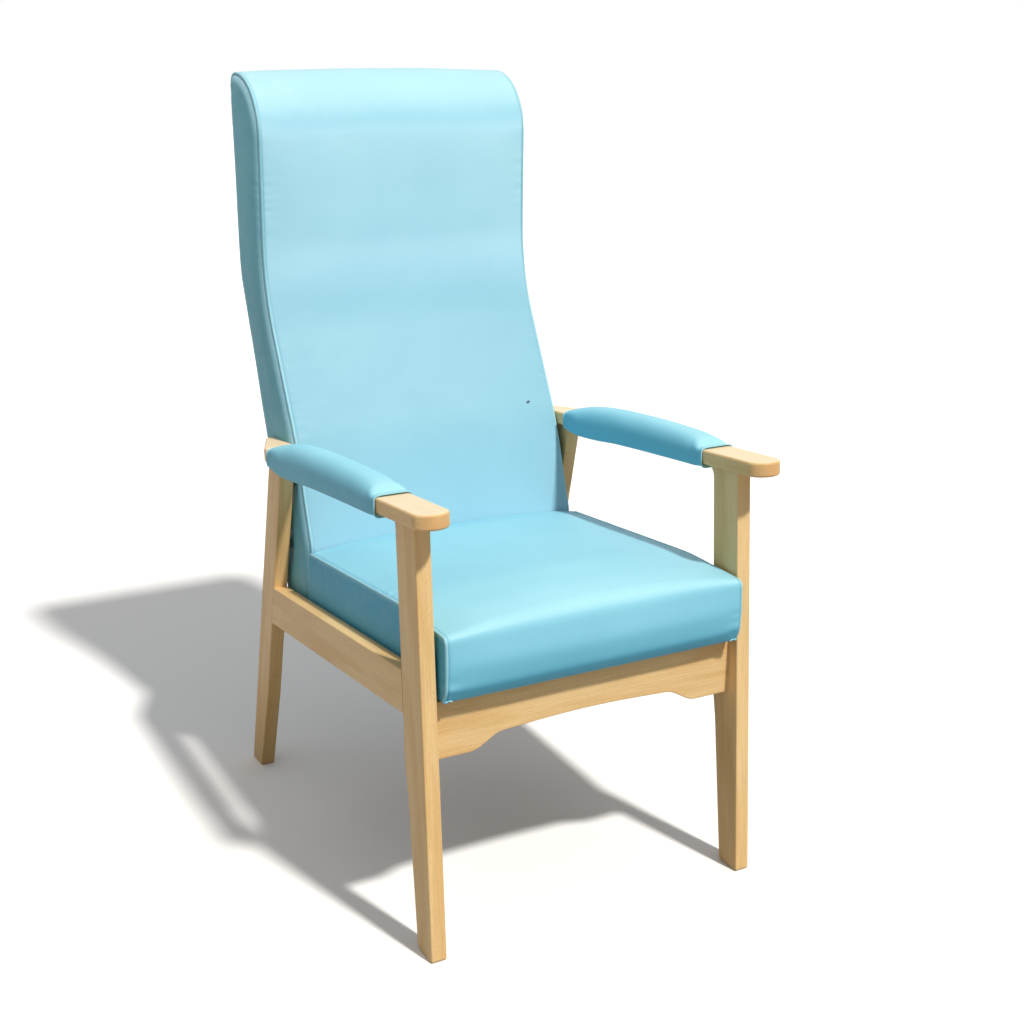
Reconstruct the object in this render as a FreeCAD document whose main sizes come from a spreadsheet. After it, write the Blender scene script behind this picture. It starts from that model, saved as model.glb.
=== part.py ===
import FreeCAD, Part
import math
import os
import Sketcher
from FreeCAD import Placement, Rotation, Vector
from itertools import pairwise

# High-back chair: two beech side frames joined by an arched front rail and a flat rear rail, a boxed
# seat between the side rails, a tall S-shaped back bolted between the rear legs and two wrapped arm pads.
# X runs across the chair, Y from the front (negative) to the back, Z up from the floor.
# Depths are measured from the front foot's toe and moved to the middle of the chair's length at the end.

# Driving dimensions
# Lengths in millimetres; a slope or a rake is a drop or a lean for each millimetre of run.
DRIVING = [
    ("frame_width", 534),
    ("board", 23),
    ("front_rake", 0.073),
    ("rear_rake", 0.2335),
    ("frame_slope", 0.1),
    ("edge_round", 2),
    ("front_leg_depth", 62),
    ("front_leg_swell", 3),
    ("front_leg_swell_height", 288),
    ("front_leg_swell_run", 52),
    ("front_leg_waist", 58),
    ("front_leg_waist_height", 228),
    ("front_foot_depth", 46),
    ("toe_round", 4),
    ("heel_round", 9),
    ("cove_height", 6),
    ("cove_reach", 13),
    ("cove_round", 18),
    ("rear_leg_base", 669),
    ("rear_leg_depth", 51),
    ("rear_foot_depth", 41),
    ("rear_foot_height", 150),
    ("rail_top", 413),
    ("rail_height", 64),
    ("arm_top", 653),
    ("arm_thickness", 22),
    ("arm_width", 52),
    ("arm_overhang", 20),
    ("arm_nose", 15),
    ("arm_end", 650),
    ("arm_end_round", 60),
    ("arm_sweep", 96),
    ("arm_tail", 14),
    ("arm_tail_round", 8),
    ("arm_round", 4),
    ("front_rail_face", 45),
    ("front_rail_drop", 86),
    ("front_rail_flat", 66),
    ("front_rail_rise", 21),
    ("front_rail_run", 36),
    ("front_rail_crown", 8),
    ("front_rail_curve", 38),
    ("rear_rail_front", 412),
    ("rear_rail_width", 60),
    ("rear_rail_thickness", 25),
    ("seat_width", 478),
    ("seat_front", 20),
    ("seat_lean", 8),
    ("seat_bottom", 377),
    ("seat_height", 99),
    ("seat_break", 150),
    ("seat_rise", 11),
    ("seat_crown", 15.5),
    ("seat_edge_round", 10),
    ("seat_edge_crown", 16),
    ("seat_wrap", 10),
    ("seat_frame_width", 20),
    ("seat_frame_height", 42),
    ("seat_gap", 1),
    ("webbing_width", 50),
    ("webbing_thickness", 1.5),
    ("vinyl", 1.2),
    ("soft_gap", 0.3),
    ("piping", 4.6),
    ("back_width", 464),
    ("back_foot_height", 340),
    ("back_foot", 505),
    ("back_hip_height", 440),
    ("back_lumbar_height", 585),
    ("back_lumbar", 50),
    ("back_neck_height", 822),
    ("back_neck", 126),
    ("back_head_height", 1149),
    ("back_depth", 126),
    ("back_rear_lean", 19),
    ("back_rear_height", 829),
    ("back_base_depth", 114),
    ("back_rear_hip", 162),
    ("back_rear_hip_height", 520),
    ("hip_round", 60),
    ("lumbar_round", 420),
    ("neck_round", 320),
    ("head_round", 96),
    ("crest_round", 20),
    ("rear_round", 150),
    ("rear_hip_round", 200),
    ("back_crown", 9),
    ("back_top_crown", 4),
    ("back_padding", 26),
    ("stile_thickness", 20),
    ("back_rail_height", 60),
    ("back_board", 3),
    ("pad_gap", 0.8),
    ("pad_crown", 21.5),
    ("pad_side", 3),
    ("pad_under", 12),
    ("dowel", 10),
    ("dowel_length", 40),
    ("dowel_gap", 0.05),
    ("dowel_relief", 1),
    ("front_dowel_depth", 14),
    ("bolt", 8),
    ("bolt_length", 50),
    ("bolt_head", 14),
    ("bolt_head_height", 5),
    ("bolt_gap", 0.25),
    ("upper_bolt_height", 530),
    ("upper_bolt_setback", 41),
    ("lower_bolt_rise", 22),
    ("lower_bolt_setback", 32),
    ("spacer", 18),
    ("washer", 22),
    ("washer_thickness", 2),
    ("insert", 12),
    ("insert_depth", 18),
    ("block_leg", 58),
    ("block_height", 46),
    ("screw", 5),
    ("screw_head", 9),
    ("pin", 2),
    ("pin_length", 14),
    ("pin_sink", 0.6),
    ("pin_height", 445),
    ("pin_setback", 31),
    ("staple_width", 10),
    ("staple_wire", 0.9),
    ("staple_leg", 7),
    ("staple_pitch", 52),
]

doc = FreeCAD.newDocument("HighBackChair")
sheet = doc.addObject("Spreadsheet::Sheet", "Sizes")
for row, (alias, number) in enumerate(DRIVING, 1):
    sheet.set(f"A{row}", alias)
    sheet.set(f"B{row}", str(number))
    sheet.setAlias(f"B{row}", alias)
doc.recompute()

size = {alias: float(sheet.get(alias)) for alias, number in DRIVING}
parts = []


def cell(name):
    return f"Sizes.{name}"


def worked(expression):
    """The number that an expression of the sheet's cells comes to."""
    return float(sheet.evalExpression(str(expression)))


# The lines that the side frame is drawn on
def frame_line(height, depth):
    """Height of a sloped line of the side frame, given at the toe, at a depth."""
    return f"(({height}) - {cell('frame_slope')} * ({depth}))"


def on_front_leg(height, depth):
    """Where a sloped line meets a line of the front leg that stands a depth behind its front face."""
    level = (
        f"((({height}) - {cell('frame_slope')} * ({depth}))"
        f" / (1 + {cell('frame_slope')} * {cell('front_rake')}))"
    )
    return f"({cell('front_rake')} * {level} + ({depth}))", level


def on_rear_leg(height, depth):
    """Where a sloped line meets a line of the rear leg that lies a depth behind its front face."""
    base = f"({cell('rear_leg_base')} + ({depth}))"
    level = (
        f"((({height}) - {cell('frame_slope')} * {base})"
        f" / (1 - {cell('frame_slope')} * {cell('rear_rake')}))"
    )
    return f"({base} - {cell('rear_rake')} * {level})", level


def front_leg_point(level, depth):
    return f"({cell('front_rake')} * ({level}) + ({depth}))", f"({level})"


def rear_leg_point(level, depth):
    return f"({cell('rear_leg_base')} + ({depth}) - {cell('rear_rake')} * ({level}))", f"({level})"


ARM_UNDER = f"({cell('arm_top')} - {cell('arm_thickness')})"
RAIL_UNDER = f"({cell('rail_top')} - {cell('rail_height')})"
INNER = f"({cell('frame_width')} / 2 - {cell('board')})"
ARM_CENTRE = f"({cell('frame_width')} / 2 + {cell('arm_overhang')} - {cell('arm_width')} / 2)"

inner = worked(INNER)
arm_centre = worked(ARM_CENTRE)


# How a wooden piece is made: an outline on one of its own planes, padded to its thickness
def own_plane(body, role):
    return [feature for feature in body.Origin.OriginFeatures if feature.Role == role][0]


def draw_outline(body, role, corners):
    """A closed outline whose corners are tied to the sheet; a corner may have a radius."""
    sketch = body.newObject("Sketcher::SketchObject", body.Name + "_outline")
    sketch.AttachmentSupport = (own_plane(body, role), "")
    sketch.MapMode = "FlatFace"
    points = [Vector(worked(across), worked(up), 0) for across, up, radius in corners]
    count = len(points)
    for index, point in enumerate(points):
        sketch.addGeometry(Part.LineSegment(point, points[(index + 1) % count]))
    for index in range(count):
        sketch.addConstraint(Sketcher.Constraint("Coincident", index, 2, (index + 1) % count, 1))
    for index, (across, up, radius) in enumerate(corners):
        for kind, place, number in (
            ("DistanceX", across, points[index].x),
            ("DistanceY", up, points[index].y),
        ):
            tie = sketch.addConstraint(Sketcher.Constraint(kind, -1, 1, index, 1, number))
            sketch.setExpression(f"Constraints[{tie}]", str(place))
    doc.recompute()
    for index, (across, up, radius) in enumerate(corners):
        if radius is None:
            continue
        before = (index - 1) % count
        made = sketch.GeometryCount
        near = (points[before] + points[index]) * 0.5
        far = (points[index] + points[(index + 1) % count]) * 0.5
        sketch.fillet(before, index, near, far, worked(radius), True, True)
        arc = [g for g in range(made, sketch.GeometryCount) if hasattr(sketch.Geometry[g], "Radius")][0]
        tie = sketch.addConstraint(Sketcher.Constraint("Radius", arc, worked(radius)))
        sketch.setExpression(f"Constraints[{tie}]", str(radius))
    doc.recompute()
    return sketch


def place_body(body, start, height="0"):
    body.setExpression("Placement.Base.x", str(start[0]))
    body.setExpression("Placement.Base.y", str(start[1]))
    body.setExpression("Placement.Base.z", str(height))


def side_board(label, corners, start, thickness):
    """A board whose outline is seen from the side; it starts at an X and runs towards +X."""
    body = doc.addObject("PartDesign::Body", label)
    body.Label = label
    sketch = draw_outline(body, "YZ_Plane", corners)
    pad = body.newObject("PartDesign::Pad", label + "_pad")
    pad.Profile = sketch
    pad.setExpression("Length", str(thickness))
    place_body(body, (start, "0"))
    doc.recompute()
    return body


def level_board(label, corners, bottom, thickness):
    """A board whose outline is seen from above; it starts at a height and runs up."""
    body = doc.addObject("PartDesign::Body", label)
    body.Label = label
    sketch = draw_outline(body, "XY_Plane", corners)
    pad = body.newObject("PartDesign::Pad", label + "_pad")
    pad.Profile = sketch
    pad.setExpression("Length", str(thickness))
    place_body(body, ("0", "0"), bottom)
    doc.recompute()
    return body


def round_edges(body, chosen, radius):
    """Rounds the edges that the test picks."""
    tip = body.Tip
    names = [
        f"Edge{number}" for number, edge in enumerate(tip.Shape.Edges, 1) if chosen(edge.BoundBox, edge)
    ]
    fillet = body.newObject("PartDesign::Fillet", body.Name + "_round")
    fillet.Base = (tip, names)
    fillet.setExpression("Radius", str(radius))
    doc.recompute()


def flat_in_x(box, edge):
    return box.XLength < 1e-4


def drill(body, tools):
    """Cuts holes out of a finished piece and keeps the result under the piece's own label."""
    if not tools:
        return keep(body)
    label = body.Label
    body.Label = label + "_blank"
    holes = doc.addObject("Part::Feature", label + "_holes")
    holes.Shape = Part.makeCompound(tools)
    cut = doc.addObject("Part::Cut", label + "_drilled")
    cut.Base = body
    cut.Tool = holes
    cut.Label = label
    doc.recompute()
    keep(cut)
    return cut


def keep(piece):
    parts.append(piece)
    return piece


def rod(radius, length, start, direction):
    return Part.makeCylinder(radius, length, Vector(*start), Vector(*direction))


def solids_node(label, solids):
    """One node that holds a group of separate solids."""
    node = doc.addObject("Part::Feature", label)
    node.Label = label
    node.Shape = solids[0] if len(solids) == 1 else Part.makeCompound(solids)
    return keep(node)


SIDES = (("left", -1), ("right", 1))
UP = (0, 0, 1)
BACKWARD = (0, 1, 0)

# Dowels
# Each dowel stands half in one piece and half in the other, in a hole a little wider and deeper.
dowel_radius = size["dowel"] / 2
hole_radius = dowel_radius + size["dowel_gap"]
side_dowels = {"left": [], "right": []}
rail_dowels = []
dowel_holes = {}


def add_dowel(group, owners, start, direction, length):
    group.append(rod(dowel_radius, length, start, direction))
    deeper = [start[i] - direction[i] * size["dowel_relief"] for i in range(3)]
    hole = rod(hole_radius, length + 2 * size["dowel_relief"], deeper, direction)
    for owner in owners:
        dowel_holes.setdefault(owner, []).append(hole)


board_middle = worked(f"{cell('frame_width')} / 2 - {cell('board')} / 2")
slope = size["frame_slope"]


def arm_under_at(depth):
    return worked(frame_line(ARM_UNDER, depth))


def rail_middle_at(depth):
    return worked(frame_line(f"({cell('rail_top')} - {cell('rail_height')} / 2)", depth))


def front_leg_back(level):
    return size["front_rake"] * level + size["front_leg_depth"]


def rear_leg_front(level):
    return size["rear_leg_base"] - size["rear_rake"] * level


for side, sign in SIDES:
    x = sign * board_middle
    group = side_dowels[side]
    leg_top = worked(on_front_leg(ARM_UNDER, "0")[1])
    front = size["front_rake"] * leg_top
    for share in (0.3, 0.7):
        y = front + share * size["front_leg_depth"]
        z = arm_under_at(y) - 0.55 * size["dowel_length"]
        add_dowel(group, (f"arm_{side}", f"front_leg_{side}"), (x, y, z), UP, size["dowel_length"])
    top = worked(on_rear_leg(ARM_UNDER, "0")[1])
    front = rear_leg_front(top)
    for share in (0.3, 0.7):
        y = front + share * size["rear_leg_depth"]
        z = arm_under_at(y) - 0.55 * size["dowel_length"]
        add_dowel(group, (f"arm_{side}", f"rear_leg_{side}"), (x, y, z), UP, size["dowel_length"])
    for offset in (-0.26, 0.26):
        lift = offset * size["rail_height"]
        joint = front_leg_back(rail_middle_at(size["front_leg_depth"]) + lift)
        z = rail_middle_at(joint) + lift
        start = (x, joint - size["dowel_length"] / 2, z)
        add_dowel(group, (f"side_rail_{side}", f"front_leg_{side}"), start, BACKWARD, size["dowel_length"])
        joint = rear_leg_front(rail_middle_at(size["rear_leg_base"]) + lift)
        z = rail_middle_at(joint) + lift
        start = (x, joint - size["dowel_length"] / 2, z)
        add_dowel(group, (f"side_rail_{side}", f"rear_leg_{side}"), start, BACKWARD, size["dowel_length"])

# Front rail place: its front face stands behind the front face of the legs
SEAT_UNDER = f"({cell('seat_bottom')} - {cell('vinyl')} - 2 * {cell('soft_gap')})"
FRONT_RAIL_BACK = f"({cell('front_rail_face')} + {cell('board')})"
FRONT_RAIL_TOP = frame_line(SEAT_UNDER, FRONT_RAIL_BACK)
FRONT_RAIL_FOOT = f"({FRONT_RAIL_TOP} - {cell('front_rail_drop')})"
REAR_RAIL_BACK = f"({cell('rear_rail_front')} + {cell('rear_rail_width')})"
REAR_RAIL_TOP = frame_line(SEAT_UNDER, REAR_RAIL_BACK)
REAR_RAIL_FOOT = f"({REAR_RAIL_TOP} - {cell('rear_rail_thickness')})"

front_rail_middle = size["front_rail_face"] + size["board"] / 2
for side, sign in SIDES:
    for share in (0.2, 0.5, 0.8):
        z = worked(FRONT_RAIL_FOOT) + share * (worked(FRONT_RAIL_TOP) - worked(FRONT_RAIL_FOOT))
        start = (sign * (inner + size["front_dowel_depth"]), front_rail_middle, z)
        owners = ("front_rail", f"front_leg_{side}")
        add_dowel(rail_dowels, owners, start, (-sign, 0, 0), size["dowel_length"])
    for share in (0.25, 0.75):
        y = size["rear_rail_front"] + share * size["rear_rail_width"]
        z = worked(REAR_RAIL_FOOT) + size["rear_rail_thickness"] / 2
        start = (sign * (inner + size["front_dowel_depth"]), y, z)
        owners = ("rear_rail", f"side_rail_{side}")
        add_dowel(rail_dowels, owners, start, (-sign, 0, 0), size["dowel_length"])

# Back fixing: bolts through the back's stiles and a spacer into threaded inserts in the rear legs
stile_face = size["back_width"] / 2 - size["vinyl"] - size["soft_gap"]
lower_bolt_height = size["back_foot_height"] + size["back_rail_height"] + size["lower_bolt_rise"]
bolt_places = [
    (rear_leg_front(size["upper_bolt_height"]) + size["upper_bolt_setback"], size["upper_bolt_height"]),
    (rear_leg_front(lower_bolt_height) + size["lower_bolt_setback"], lower_bolt_height),
]

bolts, washers, inserts, spacers = [], [], [], []
insert_holes = {"left": [], "right": []}
stile_holes = {"left": [], "right": []}
bolt_radius = size["bolt"] / 2
for side, sign in SIDES:
    outward = (sign, 0, 0)
    for y, z in bolt_places:
        seat = sign * (stile_face - size["stile_thickness"] - size["soft_gap"])
        washer = rod(size["washer"] / 2, size["washer_thickness"], (seat, y, z), (-sign, 0, 0))
        bore = rod(bolt_radius + size["bolt_gap"], size["washer_thickness"], (seat, y, z), (-sign, 0, 0))
        washers.append(washer.cut(bore))
        under_head = seat - sign * size["washer_thickness"]
        head = rod(size["bolt_head"] / 2, size["bolt_head_height"], (under_head, y, z), (-sign, 0, 0))
        bolts.append(head.fuse(rod(bolt_radius, size["bolt_length"], (under_head, y, z), outward)))
        insert = rod(size["insert"] / 2, size["insert_depth"], (sign * inner, y, z), outward)
        reach = rod(bolt_radius + size["bolt_gap"], size["insert_depth"], (sign * inner, y, z), outward)
        inserts.append(insert.cut(reach))
        pocket = rod(
            size["insert"] / 2 + size["dowel_gap"],
            size["insert_depth"] + size["dowel_relief"],
            (sign * inner, y, z),
            outward,
        )
        insert_holes[side].append(pocket)
        gap = inner - size["back_width"] / 2 - 2 * size["soft_gap"]
        base = sign * (size["back_width"] / 2 + size["soft_gap"])
        disc = rod(size["spacer"] / 2, gap, (base, y, z), outward)
        spacers.append(disc.cut(rod(bolt_radius + size["bolt_gap"], gap, (base, y, z), outward)))
        through = size["stile_thickness"] + 4 * size["soft_gap"] + size["vinyl"]
        stile_holes[side].append(rod(bolt_radius + size["bolt_gap"], through, (seat, y, z), outward))

# Pins: two small moulding pins in the outer face of each rear leg
pins = []
pin_holes = {"left": [], "right": []}
for side, sign in SIDES:
    for step in (0, 1):
        z = size["pin_height"] - step * 3 * size["pin"]
        y = rear_leg_front(z) + size["pin_setback"] - step * 2 * size["pin"]
        face = sign * (size["frame_width"] / 2)
        start = (face - sign * size["pin_sink"], y, z)
        pins.append(rod(size["pin"] / 2, size["pin_length"], start, (-sign, 0, 0)))
        wide = size["pin"] / 2 + size["dowel_gap"]
        deep = size["pin_length"] + size["pin_sink"]
        pin_holes[side].append(rod(wide, deep, (face, y, z), (-sign, 0, 0)))

# Corner blocks behind the front rail, and the screws that hold them and the seat
block_top = worked(frame_line(SEAT_UNDER, f"({FRONT_RAIL_BACK} + {cell('block_leg')})"))
block_foot = block_top - size["block_height"]
block_front = worked(FRONT_RAIL_BACK) + size["dowel_gap"]
screw_radius = size["screw"] / 2
block_screws, seat_screws = [], []
block_holes = {"left": [], "right": []}
front_rail_holes, rear_rail_holes, seat_side_holes = [], [], []
seat_screw_side = size["seat_width"] / 2 - size["seat_wrap"] - size["seat_frame_width"] / 2


def screw_at(start, direction, length):
    """A wood screw with a countersunk head; the start is the middle of the head's top."""
    head_radius = size["screw_head"] / 2
    head_height = head_radius - screw_radius
    head = Part.makeCone(head_radius, screw_radius, head_height, Vector(*start), Vector(*direction))
    return head.fuse(rod(screw_radius, length, start, direction))


def screw_hole(start, direction, length):
    shaft = screw_radius + size["dowel_gap"]
    head_radius = size["screw_head"] / 2 + size["dowel_gap"]
    head = Part.makeCone(head_radius, shaft, head_radius - shaft, Vector(*start), Vector(*direction))
    return head.fuse(rod(shaft, length + size["dowel_relief"], start, direction))


# Wooden pieces
def outline_of_front_leg():
    top_front = on_front_leg(ARM_UNDER, "0")
    top_back = on_front_leg(ARM_UNDER, f"({cell('front_leg_depth')} + {cell('cove_reach')})")
    cove = front_leg_point(f"({top_back[1]} - {cell('cove_height')})", cell("front_leg_depth"))
    swell_start = front_leg_point(
        f"({cell('front_leg_swell_height')} + {cell('front_leg_swell_run')})", cell("front_leg_depth")
    )
    swell_fall = f"({cell('front_leg_swell_height')} - {cell('front_leg_waist_height')})"
    swell_depth = f"({cell('front_leg_depth')} + {cell('front_leg_swell')})"
    swell = front_leg_point(cell("front_leg_swell_height"), swell_depth)
    waist = front_leg_point(cell("front_leg_waist_height"), cell("front_leg_waist"))
    return [
        ("0", "0", cell("toe_round")),
        (*top_front, None),
        (*top_back, None),
        (*cove, cell("cove_round")),
        (*swell_start, None),
        (*swell, f"min({cell('cove_round')} * 2; {swell_fall} * 0.6)"),
        (*waist, f"min({cell('cove_round')} * 4; {swell_fall} * 1.2)"),
        (cell("front_foot_depth"), "0", cell("heel_round")),
    ]


def outline_of_rear_leg():
    top_front = on_rear_leg(ARM_UNDER, "0")
    top_back = on_rear_leg(ARM_UNDER, cell("rear_leg_depth"))
    ankle = rear_leg_point(cell("rear_foot_height"), "0")
    toe = f"({cell('rear_leg_base')} + {cell('rear_leg_depth')} - {cell('rear_foot_depth')})"
    heel = f"({cell('rear_leg_base')} + {cell('rear_leg_depth')})"
    return [
        (toe, "0", cell("toe_round")),
        (*ankle, f"({cell('cove_round')} * 6)"),
        (*top_front, None),
        (*top_back, None),
        (heel, "0", cell("toe_round")),
    ]


def outline_of_side_rail():
    return [
        (*on_front_leg(RAIL_UNDER, cell("front_leg_depth")), None),
        (*on_front_leg(cell("rail_top"), cell("front_leg_depth")), None),
        (*on_rear_leg(cell("rail_top"), "0"), None),
        (*on_rear_leg(RAIL_UNDER, "0"), None),
    ]


def long_edges_below(level):
    """Edges in the board's two faces, apart from those that lie at its joint with the arm."""

    def chosen(box, edge):
        return flat_in_x(box, edge) and box.ZMin < level

    return chosen


for side, sign in SIDES:
    start = f"(-{cell('frame_width')} / 2)" if sign < 0 else INNER
    leg = side_board(f"front_leg_{side}", outline_of_front_leg(), start, cell("board"))
    top = worked(on_front_leg(ARM_UNDER, f"({cell('front_leg_depth')} + {cell('cove_reach')})")[1])
    round_edges(leg, long_edges_below(top - 2 * size["cove_round"]), cell("edge_round"))
    drill(leg, dowel_holes[f"front_leg_{side}"])
    leg = side_board(f"rear_leg_{side}", outline_of_rear_leg(), start, cell("board"))
    top = worked(on_rear_leg(ARM_UNDER, cell("rear_leg_depth"))[1])
    round_edges(leg, long_edges_below(top - 2 * size["cove_round"]), cell("edge_round"))
    drill(leg, dowel_holes[f"rear_leg_{side}"] + insert_holes[side] + pin_holes[side])
    rail = side_board(f"side_rail_{side}", outline_of_side_rail(), start, cell("board"))

    def long_side(box, edge):
        return flat_in_x(box, edge) and box.YLength > size["rail_height"]

    round_edges(rail, long_side, cell("edge_round"))
    drill(rail, dowel_holes[f"side_rail_{side}"])


def arm_board(side, sign):
    """The arm: a flat board with a half-round nose and a swept tail, pitched to the frame's slope."""
    centre = f"({sign} * {ARM_CENTRE})"
    half = f"({cell('arm_width')} / 2)"
    nose = f"(-{cell('arm_nose')})"
    inside, outside = f"({centre} - {sign} * {half})", f"({centre} + {sign} * {half})"
    tail = f"({inside} + {sign} * {cell('arm_tail')})"
    corners = [
        (outside, nose, f"({half} * 0.98)"),
        (inside, nose, f"({half} * 0.98)"),
        (inside, cell("arm_end"), cell("arm_round")),
        (tail, cell("arm_end"), cell("arm_tail_round")),
        (outside, f"({cell('arm_end')} - {cell('arm_sweep')})", cell("arm_end_round")),
    ]
    label = f"arm_{side}"
    body = doc.addObject("PartDesign::Body", label)
    body.Label = label
    sketch = draw_outline(body, "XY_Plane", corners)
    pad = body.newObject("PartDesign::Pad", label + "_pad")
    pad.Profile = sketch
    pad.setExpression("Length", f"{cell('arm_thickness')} * cos(atan({cell('frame_slope')}))")
    doc.recompute()
    round_edges(body, lambda box, edge: box.ZLength < 1e-4, cell("arm_round"))
    place_body(body, ("0", "0"), ARM_UNDER)
    body.setExpression("Placement.Rotation.Axis.x", "1")
    body.setExpression("Placement.Rotation.Axis.y", "0")
    body.setExpression("Placement.Rotation.Axis.z", "0")
    body.setExpression("Placement.Rotation.Angle", f"-atan({cell('frame_slope')})")
    doc.recompute()
    drill(body, dowel_holes[label])


for side, sign in SIDES:
    arm_board(side, sign)


def outline_of_front_rail():
    """Flat at both ends, with an ogee up to a long shallow arch."""
    half = INNER
    flat = f"({half} - {cell('front_rail_flat')})"
    shoulder = f"({flat} - {cell('front_rail_run')})"
    arch = f"({FRONT_RAIL_FOOT} + {cell('front_rail_rise')})"
    crown = f"({arch} + {cell('front_rail_crown')})"
    curve = cell("front_rail_curve")
    return [
        (f"(-{half})", FRONT_RAIL_FOOT, None),
        (f"(-{flat})", FRONT_RAIL_FOOT, curve),
        (f"(-{shoulder})", arch, curve),
        ("0", crown, f"({half} * 6)"),
        (shoulder, arch, curve),
        (flat, FRONT_RAIL_FOOT, curve),
        (half, FRONT_RAIL_FOOT, None),
        (half, FRONT_RAIL_TOP, None),
        (f"(-{half})", FRONT_RAIL_TOP, None),
    ]


front_rail = doc.addObject("PartDesign::Body", "front_rail")
front_rail.Label = "front_rail"
front_sketch = draw_outline(front_rail, "XZ_Plane", outline_of_front_rail())
front_pad = front_rail.newObject("PartDesign::Pad", "front_rail_pad")
front_pad.Profile = front_sketch
front_pad.setExpression("Length", cell("board"))
place_body(front_rail, ("0", FRONT_RAIL_BACK))
doc.recompute()
round_edges(front_rail, lambda box, edge: box.YLength < 1e-4 and box.XLength > 1, cell("edge_round"))

rear_rail = level_board(
    "rear_rail",
    [
        (f"(-{INNER})", cell("rear_rail_front"), None),
        (INNER, cell("rear_rail_front"), None),
        (INNER, REAR_RAIL_BACK, None),
        (f"(-{INNER})", REAR_RAIL_BACK, None),
    ],
    REAR_RAIL_FOOT,
    cell("rear_rail_thickness"),
)

for side, sign in SIDES:
    x = sign * seat_screw_side
    y = block_front + size["block_leg"] * 0.3
    foot = block_foot + size["block_height"] * 0.4
    reach = size["block_height"] * 0.6 + size["seat_frame_height"] * 0.7
    seat_screws.append(screw_at((x, y, foot), UP, reach))
    block_holes[side].append(screw_hole((x, y, foot), UP, reach))
    driver_radius = size["screw_head"] / 2 + size["bolt_gap"]
    block_holes[side].append(rod(driver_radius, foot - block_foot, (x, y, block_foot), UP))
    seat_side_holes.append(screw_hole((x, y, foot), UP, reach))
    y = size["rear_rail_front"] + size["rear_rail_width"] * 0.5
    foot = worked(REAR_RAIL_FOOT)
    reach = size["rear_rail_thickness"] + size["seat_frame_height"] * 0.7
    seat_screws.append(screw_at((x, y, foot), UP, reach))
    rear_rail_holes.append(screw_hole((x, y, foot), UP, reach))
    seat_side_holes.append(screw_hole((x, y, foot), UP, reach))
    middle = (block_top + block_foot) / 2
    shelf = size["block_leg"] * 0.62
    across = inner - shelf
    length = size["board"] * 0.6 + size["block_leg"] - shelf
    start = (sign * across, block_front + size["block_leg"] - shelf, middle)
    block_screws.append(screw_at(start, (0, -1, 0), length))
    block_holes[side].append(screw_hole(start, (0, -1, 0), length))
    front_rail_holes.append(screw_hole(start, (0, -1, 0), length))

drill(front_rail, dowel_holes["front_rail"] + front_rail_holes)
drill(rear_rail, dowel_holes["rear_rail"] + rear_rail_holes)
BLOCK_FRONT = f"({FRONT_RAIL_BACK} + {cell('dowel_gap')})"
BLOCK_REAR = f"({BLOCK_FRONT} + {cell('block_leg')})"
BLOCK_TOP = frame_line(SEAT_UNDER, f"({FRONT_RAIL_BACK} + {cell('block_leg')})")
for side, sign in SIDES:
    block_outer = f"({sign} * ({INNER} - {cell('dowel_gap')}))"
    block_inner = f"({sign} * ({INNER} - {cell('dowel_gap')} - {cell('block_leg')}))"
    block = level_board(
        f"corner_block_{side}",
        [
            (block_outer, BLOCK_FRONT, None),
            (block_inner, BLOCK_FRONT, None),
            (block_outer, BLOCK_REAR, None),
        ],
        f"({BLOCK_TOP} - {cell('block_height')})",
        cell("block_height"),
    )
    drill(block, block_holes[side])

for side, sign in SIDES:
    solids_node(f"side_frame_dowels_{side}", side_dowels[side])
solids_node("rail_dowels", rail_dowels)
solids_node("corner_block_screws", block_screws)
solids_node("seat_fixing_screws", seat_screws)
solids_node("leg_pins", pins)


# Soft forms: outlines of lines and arcs, drawn in by an inset and lofted across the chair
def inset_corners(corners, inset):
    """The same outline drawn in; it runs clockwise as seen with the front on the left."""
    count = len(corners)
    moved = []
    for index, (y, z, radius) in enumerate(corners):
        before = corners[index - 1]
        after = corners[(index + 1) % count]
        first = Vector(y - before[0], z - before[1], 0).normalize()
        second = Vector(after[0] - y, after[1] - z, 0).normalize()
        normal = Vector(first.y, -first.x, 0)
        other = Vector(second.y, -second.x, 0)
        turn = first.x * second.y - first.y * second.x
        scale = inset / (1 + normal.dot(other))
        shift = (normal + other) * scale
        rounder = max(radius - inset, 0.3) if turn < 0 else radius + inset
        moved.append((y + shift.x, z + shift.y, rounder if radius else 0))
    return moved


def corner_arc(before, corner, after, x):
    """Start, middle and end of the arc that rounds a corner, or the corner alone."""
    here = Vector(x, corner[0], corner[1])
    if not corner[2]:
        return None, here, here
    back = (Vector(x, before[0], before[1]) - here).normalize()
    ahead = (Vector(x, after[0], after[1]) - here).normalize()
    angle = math.pi - back.getAngle(ahead)
    reach = corner[2] * math.tan(angle / 2)
    start = here + back * reach
    end = here + ahead * reach
    bisector = (back + ahead).normalize()
    centre = here + bisector * (corner[2] / math.cos(angle / 2))
    middle = centre - bisector * corner[2]
    return middle, start, end


def corner_turn(before, corner, after):
    """How far the outline turns at a corner."""
    back = Vector(before[0] - corner[0], before[1] - corner[1], 0)
    ahead = Vector(after[0] - corner[0], after[1] - corner[1], 0)
    return math.pi - back.getAngle(ahead)


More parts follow.
